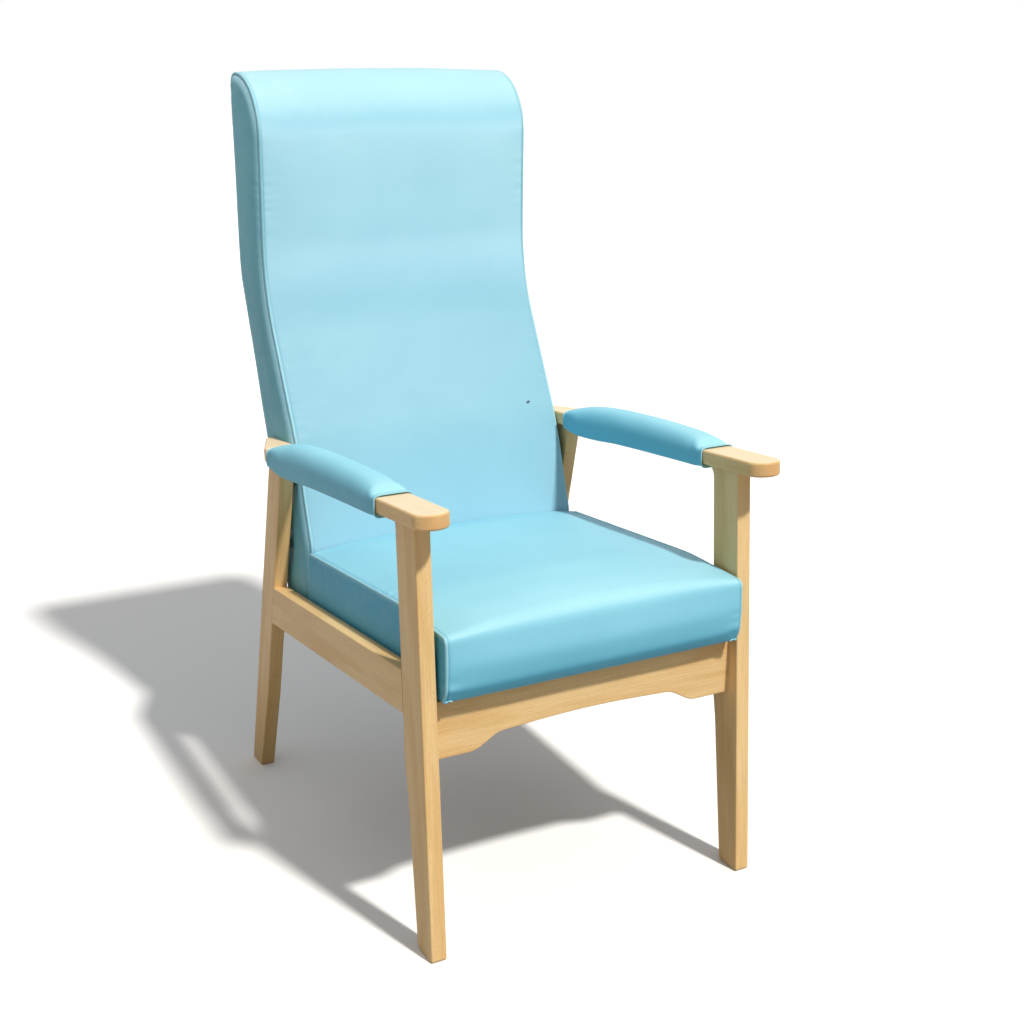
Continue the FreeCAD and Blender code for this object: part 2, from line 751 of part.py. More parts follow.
def fitted(corners, closed):
    """The same corners, with each radius held to what the straight runs beside it leave room for."""
    count = len(corners)
    radii = [corner[2] for corner in corners]
    if not closed:
        radii[0] = radii[-1] = 0
    reaches = []
    for index, corner in enumerate(corners):
        turn = corner_turn(corners[index - 1], corner, corners[(index + 1) % count])
        reaches.append(radii[index] * math.tan(turn / 2))
    shares = [1.0] * count
    for index in range(count if closed else count - 1):
        other = (index + 1) % count
        run = math.dist(corners[index][:2], corners[other][:2])
        share = 0.98 * run / max(reaches[index] + reaches[other], 1e-6)
        shares[index] = min(shares[index], share)
        shares[other] = min(shares[other], share)
    return [(y, z, radii[index] * shares[index]) for index, (y, z, radius) in enumerate(corners)]


def outline_edges(corners, x, closed=True):
    """Straight runs and arcs through the corners, as edges in the plane at an X."""
    corners = fitted(corners, closed)
    count = len(corners)
    edges = []
    last = None
    first = None
    for index in range(count):
        after = corners[(index + 1) % count]
        middle, start, end = corner_arc(corners[index - 1], corners[index], after, x)
        if last is not None:
            edges.append(Part.LineSegment(last, start).toShape())
        else:
            first = start
        if middle is not None:
            edges.append(Part.Arc(start, middle, end).toShape())
        last = end
    if closed:
        edges.append(Part.LineSegment(last, first).toShape())
    return edges


def closed_wire(corners, x):
    return Part.Wire(outline_edges(corners, x))


def band_wire(outer, inner_corners, x):
    """A strip between two open outlines, closed at both ends."""
    forward = outline_edges(outer, x, closed=False)
    backward = outline_edges(list(reversed(inner_corners)), x, closed=False)
    bridge = Part.LineSegment(forward[-1].Vertexes[-1].Point, backward[0].Vertexes[0].Point).toShape()
    home = Part.LineSegment(backward[-1].Vertexes[-1].Point, forward[0].Vertexes[0].Point).toShape()
    return Part.Wire(forward + [bridge] + backward + [home])


def loft(wires):
    return Part.makeLoft(wires, True, True)


STATIONS = (-1, -0.9, -0.72, -0.5, -0.25, 0, 0.25, 0.5, 0.72, 0.9, 1)


def crown_share(share):
    return 1 - abs(share) ** 2.4


# Seat
seat_half = size["seat_width"] / 2


def seat_under_at(depth):
    return size["seat_bottom"] - slope * depth


def seat_corners(share):
    """The seat from the side, at a share of its half width; it rises and softens towards the middle."""
    lift = crown_share(share)
    front = size["seat_front"]
    under = seat_under_at(front)
    tall = size["seat_height"] + lift * size["seat_crown"]
    brow = (front - size["seat_lean"], under + tall)
    ridge = size["seat_break"]
    ridge_top = seat_under_at(ridge) + size["seat_height"] + size["seat_rise"] + lift * size["seat_crown"]
    rear = size["back_foot"] - size["seat_gap"] - 0.5 * size["back_crown"] * lift
    rear_top = seat_under_at(rear) + size["seat_height"] + size["seat_rise"] + lift * size["seat_crown"]
    return [
        (front, under, 2),
        (brow[0], brow[1] - 2, size["seat_edge_round"] + lift * size["seat_edge_crown"]),
        (ridge, ridge_top, size["seat_width"]),
        (rear, rear_top, size["seat_edge_round"] * 0.8),
        (rear, seat_under_at(rear), 2),
    ]


def across(half, shares, wire_at):
    return loft([wire_at(share, share * half) for share in shares])


piping_radius = size["piping"] / 2
welt_margin = size["piping"] + size["soft_gap"]
foam_inset = size["vinyl"] + size["soft_gap"]
ease = 0.5 * welt_margin
bevel = 1.2 * welt_margin
panel_half = seat_half - welt_margin
foam_half = seat_half - size["vinyl"] - size["soft_gap"]


def foam_wires(corners_at, half, outer_half, depth):
    """Sections of a foam block whose end edges are eased to leave room for the piping."""
    wires = [closed_wire(inset_corners(corners_at(-1), depth + bevel), -outer_half)]
    for share in STATIONS:
        wires.append(closed_wire(inset_corners(corners_at(share), depth), share * (half - ease)))
    wires.append(closed_wire(inset_corners(corners_at(1), depth + bevel), outer_half))
    return wires


FRAME_FRONT = f"({cell('seat_front')} + {cell('seat_wrap')})"
FRAME_REAR = f"({cell('back_foot')} - {cell('seat_gap')} - {cell('back_crown')} / 2 - {cell('seat_wrap')})"
FRAME_HALF = f"({cell('seat_width')} / 2 - {cell('seat_wrap')})"
seat_frame_front = worked(FRAME_FRONT)
seat_frame_rear = worked(FRAME_REAR)
seat_frame_half = worked(FRAME_HALF)
SEAT_FRAME_UNDER = f"({cell('seat_bottom')} + {cell('soft_gap')})"
cavity_height = size["seat_frame_height"] + 2 * size["webbing_thickness"] + 4 * size["soft_gap"]


def sloped_prism(front, rear, low, high, half):
    """A block between two depths, whose under and upper sides follow the frame's slope."""
    corners = [
        Vector(-half, front, low - slope * front),
        Vector(-half, front, high - slope * front),
        Vector(-half, rear, high - slope * rear),
        Vector(-half, rear, low - slope * rear),
    ]
    face = Part.Face(Part.makePolygon(corners + corners[:1]))
    return face.extrude(Vector(2 * half, 0, 0))


seat_blank = loft(foam_wires(seat_corners, panel_half, foam_half, foam_inset))
hollow = sloped_prism(
    seat_frame_front - size["soft_gap"],
    seat_frame_rear + size["soft_gap"],
    size["seat_bottom"] - size["seat_frame_width"],
    size["seat_bottom"] + cavity_height,
    seat_frame_half + size["soft_gap"],
)
solids_node("seat_foam", [seat_blank.cut(hollow)])

# Staples that hold the dust cover to the seat frame
staples = []
staple_holes = []
wire = size["staple_wire"] / 2
tilt = Rotation(Vector(1, 0, 0), -math.degrees(math.atan(slope)))


def staple(x, y, along_x):
    """A staple driven up into the frame: a crown wire and two legs."""
    level = size["seat_bottom"] - size["vinyl"] - size["soft_gap"] - wire
    half = size["staple_width"] / 2
    run = Vector(1, 0, 0) if along_x else Vector(0, 1, 0)
    middle = Vector(x, y, level - slope * y)
    ends = [middle - run * half, middle + run * half]
    if not along_x:
        ends = [Vector(p.x, p.y, level - slope * p.y) for p in ends]
    crown = Part.makeCylinder(wire, (ends[1] - ends[0]).Length, ends[0], ends[1] - ends[0])
    pieces = [Part.makeSphere(wire, end) for end in ends]
    legs = [Part.makeCylinder(wire, size["staple_leg"], end, Vector(0, 0, 1)) for end in ends]
    solid = crown.multiFuse(pieces + legs)
    wide = wire + size["dowel_gap"]
    for end in ends:
        foot = end - Vector(0, 0, wire)
        staple_holes.append(Part.makeCylinder(wide, size["staple_leg"] + 2 * wire, foot, Vector(0, 0, 1)))
    return solid


staple_side = seat_frame_half - size["seat_frame_width"] * 0.85
staple_rear = seat_frame_rear - size["seat_frame_width"] * 0.35
clear = size["staple_width"]
side_start = worked(FRONT_RAIL_BACK) + size["block_leg"] + clear
side_stop = size["rear_rail_front"] - clear
count_across = max(2, int(2 * (staple_side - size["staple_pitch"]) / size["staple_pitch"]))
count_deep = max(2, int((side_stop - side_start) / size["staple_pitch"]))
for index in range(count_across + 1):
    x = (2 * index / count_across - 1) * (staple_side - size["staple_pitch"] / 2)
    staples.append(staple(x, staple_rear, True))
for index in range(count_deep + 1):
    y = side_start + (side_stop - side_start) * index / count_deep
    for sign in (-1, 1):
        staples.append(staple(sign * staple_side, y, False))


def frame_member(label, front, rear, start, length, holes):
    """A batten of the seat frame, whose under and upper sides follow the frame's slope."""
    low, high = SEAT_FRAME_UNDER, f"({SEAT_FRAME_UNDER} + {cell('seat_frame_height')})"
    corners = [
        (front, frame_line(low, front), None),
        (front, frame_line(high, front), None),
        (rear, frame_line(high, rear), None),
        (rear, frame_line(low, rear), None),
    ]
    drill(side_board(label, corners, start, length), holes)


batten = cell("seat_frame_width")
span = f"({FRAME_HALF} - {batten})"
width = f"(2 * {span})"
frame_member("seat_frame_front", FRAME_FRONT, f"({FRAME_FRONT} + {batten})", f"(-{span})", width, [])
frame_member("seat_frame_rear", f"({FRAME_REAR} - {batten})", FRAME_REAR, f"(-{span})", width, staple_holes)
for side, sign in SIDES:
    start = f"(-{FRAME_HALF})" if sign < 0 else span
    frame_member(f"seat_frame_{side}", FRAME_FRONT, FRAME_REAR, start, batten, seat_side_holes + staple_holes)

straps = []
strap_level = size["seat_bottom"] + size["seat_frame_height"] + 2 * size["soft_gap"]
strap_run = seat_frame_rear - seat_frame_front
strap_count = max(3, int(strap_run / (1.7 * size["webbing_width"])))
for index in range(strap_count):
    front = seat_frame_front + (index + 0.5) * strap_run / strap_count - size["webbing_width"] / 2
    straps.append(
        sloped_prism(
            front,
            front + size["webbing_width"],
            strap_level,
            strap_level + size["webbing_thickness"],
            seat_frame_half - size["seat_frame_width"] * 0.2,
        )
    )
solids_node("seat_webbing", straps)

dust_cover = sloped_prism(
    seat_frame_front + 2,
    seat_frame_rear - 2,
    size["seat_bottom"] - size["vinyl"],
    size["seat_bottom"],
    seat_frame_half - 2,
)
for hole in staple_holes:
    dust_cover = dust_cover.cut(hole)
for hole in seat_side_holes:
    box = hole.BoundBox
    start = (box.Center.x, box.Center.y, box.ZMin)
    dust_cover = dust_cover.cut(rod(screw_radius + size["bolt_gap"], size["seat_frame_height"], start, UP))
solids_node("seat_dust_cover", [dust_cover])
solids_node("dust_cover_staples", staples)


def seat_band_corners(share, inset):
    """The cover's run: up the front, over the top and down behind."""
    return inset_corners(seat_corners(share), inset)


def seat_band(share, x):
    return band_wire(seat_band_corners(share, 0), seat_band_corners(share, size["vinyl"]), x)


solids_node("seat_cover", [across(panel_half, STATIONS, seat_band)])


def flat_panel(corners, low, high, holes=()):
    face = Part.Face(closed_wire(corners, low))
    solid = face.extrude(Vector(high - low, 0, 0))
    for hole in holes:
        solid = solid.cut(hole)
    return solid


def cord_along(corners, x):
    """Piping: a round cord along the open outline."""
    path = Part.Wire(outline_edges(corners, x, closed=False))
    start = path.Edges[0]
    begin = start.Vertexes[0].Point
    ahead = start.tangentAt(start.FirstParameter)
    profile = Part.Wire(Part.makeCircle(piping_radius, begin, ahead))
    return path.makePipeShell([profile], True, False)


for side, sign in SIDES:
    outer = sign * seat_half
    inside = sign * (seat_half - size["vinyl"])
    corners = inset_corners(seat_corners(1), welt_margin)
    solids_node(f"seat_side_panel_{side}", [flat_panel(corners, min(outer, inside), max(outer, inside))])
    run = inset_corners(seat_corners(1), piping_radius)
    solids_node(f"seat_piping_{side}", [cord_along(run, sign * (seat_half - piping_radius))])

# Back
back_half = size["back_width"] / 2


def back_corners(share):
    """The back from the side: lumbar bulge, hollow neck and head roll; the front swells to the middle."""
    lift = crown_share(share)
    swell = size["back_crown"] * lift
    foot = size["back_foot"]
    foot_level = size["back_foot_height"]
    hip = size["back_hip_height"]
    lumbar = foot + size["back_lumbar"]
    neck = lumbar + size["back_neck"]
    head_level = size["back_head_height"] + size["back_top_crown"] * lift
    rear_top = neck + size["back_depth"]
    rear_neck = rear_top - size["back_rear_lean"]
    rear_foot = foot + size["back_base_depth"]
    tuck = 1.6 * size["crest_round"] / (size["back_head_height"] - size["back_rear_height"])
    return [
        (foot - swell * 0.5, foot_level, 3),
        (foot - swell * 0.5, hip, size["hip_round"]),
        (lumbar - swell, size["back_lumbar_height"], size["lumbar_round"]),
        (neck - swell, size["back_neck_height"], size["neck_round"]),
        (neck - swell, head_level, size["head_round"]),
        (rear_top, head_level, size["crest_round"]),
        (
            rear_top - (rear_top - rear_neck) * tuck,
            head_level - (head_level - size["back_rear_height"]) * tuck,
            0,
        ),
        (rear_neck, size["back_rear_height"], size["rear_round"]),
        (foot + size["back_rear_hip"], size["back_rear_hip_height"], size["rear_hip_round"]),
        (rear_foot, foot_level, 3),
    ]


back_panel_half = back_half - welt_margin
back_foam_half = back_half - size["vinyl"] - size["soft_gap"]


def front_run(share, inset):
    """Foot, hip, lumbar, neck, head, crest and tuck: the run of the front cover."""
    return inset_corners(back_corners(share), inset)[:-3]


def rear_run(share, inset):
    """Tuck, rear neck, rear hip and rear foot: the run of the outside back."""
    return inset_corners(back_corners(share), inset)[-4:]


def front_band(share, x):
    return band_wire(front_run(share, 0), front_run(share, size["vinyl"]), x)


def foam_band(share, x, extra=0.0):
    near = foam_inset + extra
    return band_wire(front_run(share, near), front_run(share, size["back_padding"]), x)


foam_sections = [foam_band(-1, -back_foam_half, bevel)]
for share in STATIONS:
    foam_sections.append(foam_band(share, share * (back_panel_half - ease)))
foam_sections.append(foam_band(1, back_foam_half, bevel))
solids_node("back_foam", [loft(foam_sections)])
solids_node("back_cover", [across(back_panel_half, STATIONS, front_band)])

board_gap = size["vinyl"] + size["soft_gap"]


def strip_between(corners_outer, corners_inner, half):
    face = Part.Face(band_wire(corners_outer, corners_inner, -half))
    return face.extrude(Vector(2 * half, 0, 0))


solids_node(
    "outside_back_cover",
    [strip_between(rear_run(1, 0), rear_run(1, size["vinyl"]), back_half - size["vinyl"] - size["soft_gap"])],
)
board_inner = board_gap + size["back_board"]
board_half = back_half - size["vinyl"] - 2 * size["soft_gap"]


def board_run(inset):
    """The outside back board starts just below the tuck of the front cover."""
    top, neck, *lower = rear_run(1, inset)
    share = size["soft_gap"] / (top[1] - neck[1])
    start = (top[0] + (neck[0] - top[0]) * share, top[1] + (neck[1] - top[1]) * share, 0)
    return [start, neck, *lower]


solids_node("back_board", [strip_between(board_run(board_gap), board_run(board_inner), board_half)])

stile_front = size["back_padding"] + size["soft_gap"] + size["webbing_thickness"] + size["soft_gap"]
stile_rear = board_inner + size["soft_gap"]


def stile_corners():
    """The S-shaped stile lies inside the padding in front and the board behind."""
    front = front_run(1, stile_front)
    rear = rear_run(1, stile_rear)
    foot, hip, lumbar, neck, head = front[:5]
    top_level = head[1] - 0.55 * head[2]
    share = (rear[0][1] - top_level) / (rear[0][1] - rear[1][1])
    rear_top = rear[0][0] + (rear[1][0] - rear[0][0]) * share
    lift = size["soft_gap"] + size["vinyl"]
    return [
        (foot[0], foot[1] + lift, 0),
        hip,
        lumbar,
        neck,
        (head[0], top_level, 0.5 * head[2]),
        (rear_top, top_level, 0),
        *rear[1:-1],
        (rear[-1][0], rear[-1][1] + lift, 0),
    ]


stile = stile_corners()
stile_top = stile[4][1]
for side, sign in SIDES:
    outer = sign * stile_face
    inside = sign * (stile_face - size["stile_thickness"])
    solids_node(
        f"back_stile_{side}",
        [flat_panel(stile, min(outer, inside), max(outer, inside), stile_holes[side])],
    )
    border = inset_corners(back_corners(1), welt_margin)
    outer = sign * back_half
    inside = sign * (back_half - size["vinyl"])
    through = bolt_radius + 2 * size["bolt_gap"]
    start = inside - sign * size["vinyl"]
    holes = [rod(through, 4 * size["vinyl"], (start, y, z), (sign, 0, 0)) for y, z in bolt_places]
    solids_node(
        f"back_border_{side}",
        [flat_panel(border, min(outer, inside), max(outer, inside), holes)],
    )
    cord = cord_along(front_run(1, piping_radius), sign * (back_half - piping_radius))
    solids_node(f"back_piping_{side}", [cord])

rail_span = stile_face - size["stile_thickness"] - size["dowel_gap"]


def rear_line_at(level, inset):
    """Depth of the outside back, drawn in, at a height."""
    for high, low in pairwise(rear_run(1, inset)):
        if level >= low[1]:
            break
    share = (level - low[1]) / (high[1] - low[1])
    return low[0] + (high[0] - low[0]) * share


def cross_rail(label, level):
    """A back rail against the inside of the outside back board."""
    thickness = size["stile_thickness"]
    tall = size["back_rail_height"]
    rear = min(rear_line_at(level, stile_rear), rear_line_at(level + tall, stile_rear))
    rear -= size["rear_round"] * 0.02
    node = doc.addObject("Part::Box", label)
    node.Label = label
    node.setExpression("Height", cell("back_rail_height"))
    node.setExpression("Width", cell("stile_thickness"))
    node.Length = 2 * rail_span
    node.Placement = Placement(Vector(-rail_span, rear - thickness, level), Rotation())
    keep(node)


lift = 2 * size["vinyl"]
cross_rail("back_foot_rail", size["back_foot_height"] + lift)
cross_rail("back_middle_rail", size["back_lumbar_height"] + size["back_rail_height"])
cross_rail("back_top_rail", stile_top - size["back_rail_height"] - 4 * size["webbing_thickness"])

# Back webbing: straps across the front edges of the stiles
straps = []
strap_outer = size["back_padding"] + size["soft_gap"]
strap_inner = strap_outer + size["webbing_thickness"]
outer_line = front_run(1, strap_outer)
inner_line = front_run(1, strap_inner)
for low_index, shares in ((0, (0.5,)), (1, (0.5,)), (2, (0.32, 0.58)), (3, (0.38, 0.62))):
    for share in shares:
        corners = []
        for line, order in ((outer_line, (0, 1)), (inner_line, (1, 0))):
            low, high = line[low_index], line[low_index + 1]
            run = Vector(0, high[0] - low[0], high[1] - low[1])
            middle = Vector(0, low[0], low[1]) + run * share
            reach = run.normalize() * (size["webbing_width"] / 2)
            ends = (middle - reach, middle + reach)
            corners += [ends[order[0]], ends[order[1]]]
        half = stile_face - size["stile_thickness"] * 0.2
        corners = [Vector(-half, p.y, p.z) for p in corners]
        face = Part.Face(Part.makePolygon(corners + corners[:1]))
        straps.append(face.extrude(Vector(2 * half, 0, 0)))
solids_node("back_webbing", straps)
solids_node("back_bolts", bolts)
solids_node("back_bolt_washers", washers)
solids_node("back_bolt_inserts", inserts)
solids_node("back_spacers", spacers)

# Arm pads: foam wrapped all round the arm board, with a vinyl sleeve over it
# Each station: share of the pad's length, share of the crown, share of the side room, of the room below
PAD_STATIONS = (
    (0, 0.16, 0.75, 0.42),
    (0.025, 0.5, 0.95, 0.48),
    (0.08, 0.7, 1, 0.5),
    (0.2, 0.88, 1, 0.5),
    (0.42, 1, 1, 0.56),
    (0.6, 1, 1, 0.66),
    (0.78, 0.86, 1, 0.95),
    (0.88, 0.66, 1, 1),
    (0.95, 0.42, 0.95, 0.8),
    (1, 0.12, 0.75, 0.36),
)
slant = math.atan(slope)


def in_arm_frame(y, z):
    """A point of the side frame, seen in the arm's own pitched frame."""
    up = z - worked(ARM_UNDER)
    return y * math.cos(slant) - up * math.sin(slant)


leg_back = [worked(e) for e in on_front_leg(ARM_UNDER, f"({cell('front_leg_depth')} + {cell('cove_reach')})")]
leg_front = [worked(e) for e in on_rear_leg(ARM_UNDER, "0")]
pad_start = in_arm_frame(*leg_back) + size["pad_gap"]
pad_stop = in_arm_frame(*leg_front) - size["pad_gap"] - 0.36 * size["pad_under"] * slope


def pad_wire(centre, station, inset):
    """A rounded section of the sleeve in the arm's own frame: flat under, crowned on top."""
    share, crown_part, side_part, under_part = station
    crown = size["pad_crown"] * crown_part
    side_room = size["pad_side"] * side_part
    under_room = size["pad_under"] * under_part
    y = pad_start + share * (pad_stop - pad_start)
    half = size["arm_width"] / 2 + side_room - inset
    low = -under_room + inset
    high = size["arm_thickness"] * math.cos(slant) + crown - inset
    shoulder = high - 0.42 * crown
    bottom_round = 7 - inset * 0.5
    k = bottom_round * (1 - math.sqrt(0.5))
    left, right = centre - half, centre + half
    third = half * 0.62
    brow = high - 0.12 * crown
    p = Vector
    edges = [
        Part.LineSegment(p(left + bottom_round, y, low), p(right - bottom_round, y, low)).toShape(),
        Part.Arc(
            p(right - bottom_round, y, low), p(right - k, y, low + k), p(right, y, low + bottom_round)
        ).toShape(),
        Part.LineSegment(p(right, y, low + bottom_round), p(right, y, shoulder - 4)).toShape(),
        Part.Arc(
            p(right, y, shoulder - 4),
            p(right - 0.16 * half, y, shoulder + 0.5 * (brow - shoulder) + 0.5),
            p(centre + third, y, brow),
        ).toShape(),
        Part.Arc(p(centre + third, y, brow), p(centre, y, high), p(centre - third, y, brow)).toShape(),
        Part.Arc(
            p(centre - third, y, brow),
            p(left + 0.16 * half, y, shoulder + 0.5 * (brow - shoulder) + 0.5),
            p(left, y, shoulder - 4),
        ).toShape(),
        Part.LineSegment(p(left, y, shoulder - 4), p(left, y, low + bottom_round)).toShape(),
        Part.Arc(
            p(left, y, low + bottom_round), p(left + k, y, low + k), p(left + bottom_round, y, low)
        ).toShape(),
    ]
    return Part.Wire(edges)


def pad_loft(centre, inset, longer=0.0):
    wires = []
    for station in PAD_STATIONS:
        wire = pad_wire(centre, station, inset)
        if station[0] in (0, 1):
            wire.translate(Vector(0, longer if station[0] else -longer, 0))
        wires.append(wire)
    return loft(wires)


arm_frame = Placement(Vector(0, 0, worked(ARM_UNDER)), Rotation(Vector(1, 0, 0), -math.degrees(slant)))
arm_tall = size["arm_thickness"] * math.cos(slant)
for side, sign in SIDES:
    centre = sign * arm_centre
    gap = size["soft_gap"]
    wood_half = size["arm_width"] / 2 + gap
    core = Part.makeBox(
        2 * wood_half,
        2 * size["arm_end"],
        arm_tall + 2 * gap,
        Vector(centre - wood_half, -size["arm_end"] / 2, -gap),
    )
    foam = pad_loft(centre, foam_inset).cut(core)
    cover = pad_loft(centre, 0).cut(pad_loft(centre, size["vinyl"], 1.0))
    for label, shape in ((f"arm_pad_foam_{side}", foam), (f"arm_pad_cover_{side}", cover)):
        node = doc.addObject("Part::Feature", label)
        node.Label = label
        node.Shape = shape
        node.Placement = arm_frame
        keep(node)

# Shift to the middle of the chair's length
# The chair reaches from the arms' noses to the crest of the back.
FOREMOST = f"(-{cell('arm_nose')} * cos(atan({cell('frame_slope')})))"
REARMOST = f"({cell('back_foot')} + {cell('back_lumbar')} + {cell('back_neck')} + {cell('back_depth')})"
MIDDLE = f"(({FOREMOST} + {REARMOST}) / 2)"
doc.recompute()
finished = []
for piece in parts:
    label = piece.Label
    piece.Label = label + "_unplaced"
    placed = doc.addObject("Part::Compound", label + "_placed")
    placed.Links = [piece]
    placed.Label = label
    placed.setExpression("Placement.Base.y", f"-{MIDDLE}")
    finished.append(placed)
doc.recompute()

for item in doc.Objects:
    if "Invalid" in item.State or "Error" in item.State:
        raise RuntimeError(f"{item.Label} could not be made: {item.State}")
for piece in finished:
    if piece.Shape.isNull() or not piece.Shape.isValid():
        raise RuntimeError(f"{piece.Label} has no valid shape")

os.makedirs("parts", exist_ok=True)
for piece in finished:
    solids = piece.Shape.Solids
    shape = solids[0] if len(solids) == 1 else Part.makeCompound(solids)
    shape.exportStep(f"parts/{piece.Label}.step")
box = Part.makeCompound([piece.Shape for piece in finished]).BoundBox
print(f"{len(finished)} nodes, {box.XLength:.1f} x {box.YLength:.1f} x {box.ZLength:.1f} mm")
print(f"from {box.YMin:.1f} to {box.YMax:.1f} mm in depth, lowest point {box.ZMin:.2f} mm")
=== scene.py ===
import math
import bmesh
import bpy
import numpy as np
from mathutils import Matrix, Vector


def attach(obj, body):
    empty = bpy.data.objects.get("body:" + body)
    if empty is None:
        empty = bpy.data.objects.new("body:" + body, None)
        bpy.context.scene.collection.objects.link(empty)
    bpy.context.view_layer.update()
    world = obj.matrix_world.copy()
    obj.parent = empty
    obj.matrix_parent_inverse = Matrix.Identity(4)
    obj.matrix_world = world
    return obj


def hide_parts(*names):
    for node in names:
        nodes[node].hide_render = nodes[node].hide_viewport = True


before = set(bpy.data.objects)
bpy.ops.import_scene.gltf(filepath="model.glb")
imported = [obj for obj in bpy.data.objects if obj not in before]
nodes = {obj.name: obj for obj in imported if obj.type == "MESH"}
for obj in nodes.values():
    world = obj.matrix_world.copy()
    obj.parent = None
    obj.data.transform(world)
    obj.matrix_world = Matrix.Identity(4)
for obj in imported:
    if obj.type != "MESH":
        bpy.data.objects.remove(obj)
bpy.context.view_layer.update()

# Beech side frames, arms and rails
# Planed beech boards 23 mm thick, dowelled and glued, with softly rounded edges, under a clear satin
# lacquer. The grain runs along each board; end grain on the arm noses and feet is a deeper honey.
BEECH_PALE = (0.81, 0.575, 0.285, 1.0)
BEECH_HONEY = (0.73, 0.475, 0.205, 1.0)
BEECH_END = (0.62, 0.36, 0.16, 1.0)
BEECH_FLECK = (0.50, 0.29, 0.13, 1.0)
# Painted highlight colour for the tops of the arms, where the light falls.
BEECH_PAINTED_HIGHLIGHT = (0.88, 0.74, 0.53, 1.0)


def set_values(node, **values):
    """Sets a node's properties and unlinked sockets by name, with _ for each space in a name."""
    for name, value in values.items():
        if hasattr(node, name):
            setattr(node, name, value)
        else:
            node.inputs[name.replace("_", " ")].default_value = value
    return node


def add_node(tree, kind, **values):
    return set_values(tree.nodes.new(kind), **values)


def grey(value):
    return (value, value, value, 1)


def colour_ramp(tree, source, stops, easing="LINEAR"):
    """Colours by a value; a stop is (position, colour)."""
    ramp = tree.nodes.new("ShaderNodeValToRGB")
    ramp.color_ramp.interpolation = easing
    while len(ramp.color_ramp.elements) < len(stops):
        ramp.color_ramp.elements.new(0.5)
    for element, (position, colour) in zip(ramp.color_ramp.elements, stops):
        element.position = position
        element.color = colour
    tree.links.new(source, ramp.inputs["Fac"])
    return ramp.outputs["Color"]


def feed(tree, socket, value):
    """Links another node's socket in, or sets a plain value."""
    if isinstance(value, bpy.types.NodeSocket):
        tree.links.new(value, socket)
    else:
        socket.default_value = value


def mix_colours(tree, share, first, second, blend="MIX"):
    """Mixes two colours; each may be a socket or a plain colour, and the share a socket or a number."""
    mix = add_node(tree, "ShaderNodeMix", data_type="RGBA", blend_type=blend)
    for socket, value in ((mix.inputs[0], share), (mix.inputs[6], first), (mix.inputs[7], second)):
        feed(tree, socket, value)
    return mix.outputs[2]


def arithmetic(tree, operation, first, second, clamp=False):
    node = add_node(tree, "ShaderNodeMath", operation=operation, use_clamp=clamp)
    for socket, value in zip(node.inputs, (first, second)):
        feed(tree, socket, value)
    return node.outputs[0]


def new_material(name):
    material = bpy.data.materials.new(name)
    material.use_nodes = True
    shader = material.node_tree.nodes["Principled BSDF"]
    return material, material.node_tree, shader


def surface(tree, shader, colour, rough):
    feed(tree, shader.inputs["Base Color"], colour)
    feed(tree, shader.inputs["Roughness"], rough)


def object_coordinates(tree, turn=(0, 0, 0), stretch=(1, 1, 1), shift=(0, 0, 0)):
    """Object coordinates, turned so that the pattern's X runs along the piece, then stretched."""
    source = tree.nodes.new("ShaderNodeTexCoord")
    turned = add_node(tree, "ShaderNodeMapping", Rotation=turn, Location=shift)
    tree.links.new(source.outputs["Object"], turned.inputs["Vector"])
    scaled = add_node(tree, "ShaderNodeMapping", Scale=stretch)
    tree.links.new(turned.outputs["Vector"], scaled.inputs["Vector"])
    return scaled.outputs["Vector"]


def noise(tree, vector, scale, detail=2.0, roughness=0.5, distortion=0.0):
    texture = add_node(tree, "ShaderNodeTexNoise", Scale=scale, Detail=detail)
    set_values(texture, Roughness=roughness, Distortion=distortion)
    tree.links.new(vector, texture.inputs["Vector"])
    return texture.outputs["Fac"]


def facing(tree, direction):
    """How far the surface faces a direction, from the object's own normals."""
    product = add_node(tree, "ShaderNodeVectorMath", operation="DOT_PRODUCT")
    product.inputs[1].default_value = direction
    tree.links.new(tree.nodes.new("ShaderNodeTexCoord").outputs["Normal"], product.inputs[0])
    return product.outputs["Value"]


def bumped(tree, shader, *layers):
    """Bumps laid one over the other; a layer is (heights, strength, distance in metres)."""
    below = None
    for heights, strength, distance in layers:
        bump = add_node(tree, "ShaderNodeBump", Strength=strength, Distance=distance)
        tree.links.new(heights, bump.inputs["Height"])
        if below:
            tree.links.new(below, bump.inputs["Normal"])
        below = bump.outputs["Normal"]
    tree.links.new(below, shader.inputs["Normal"])


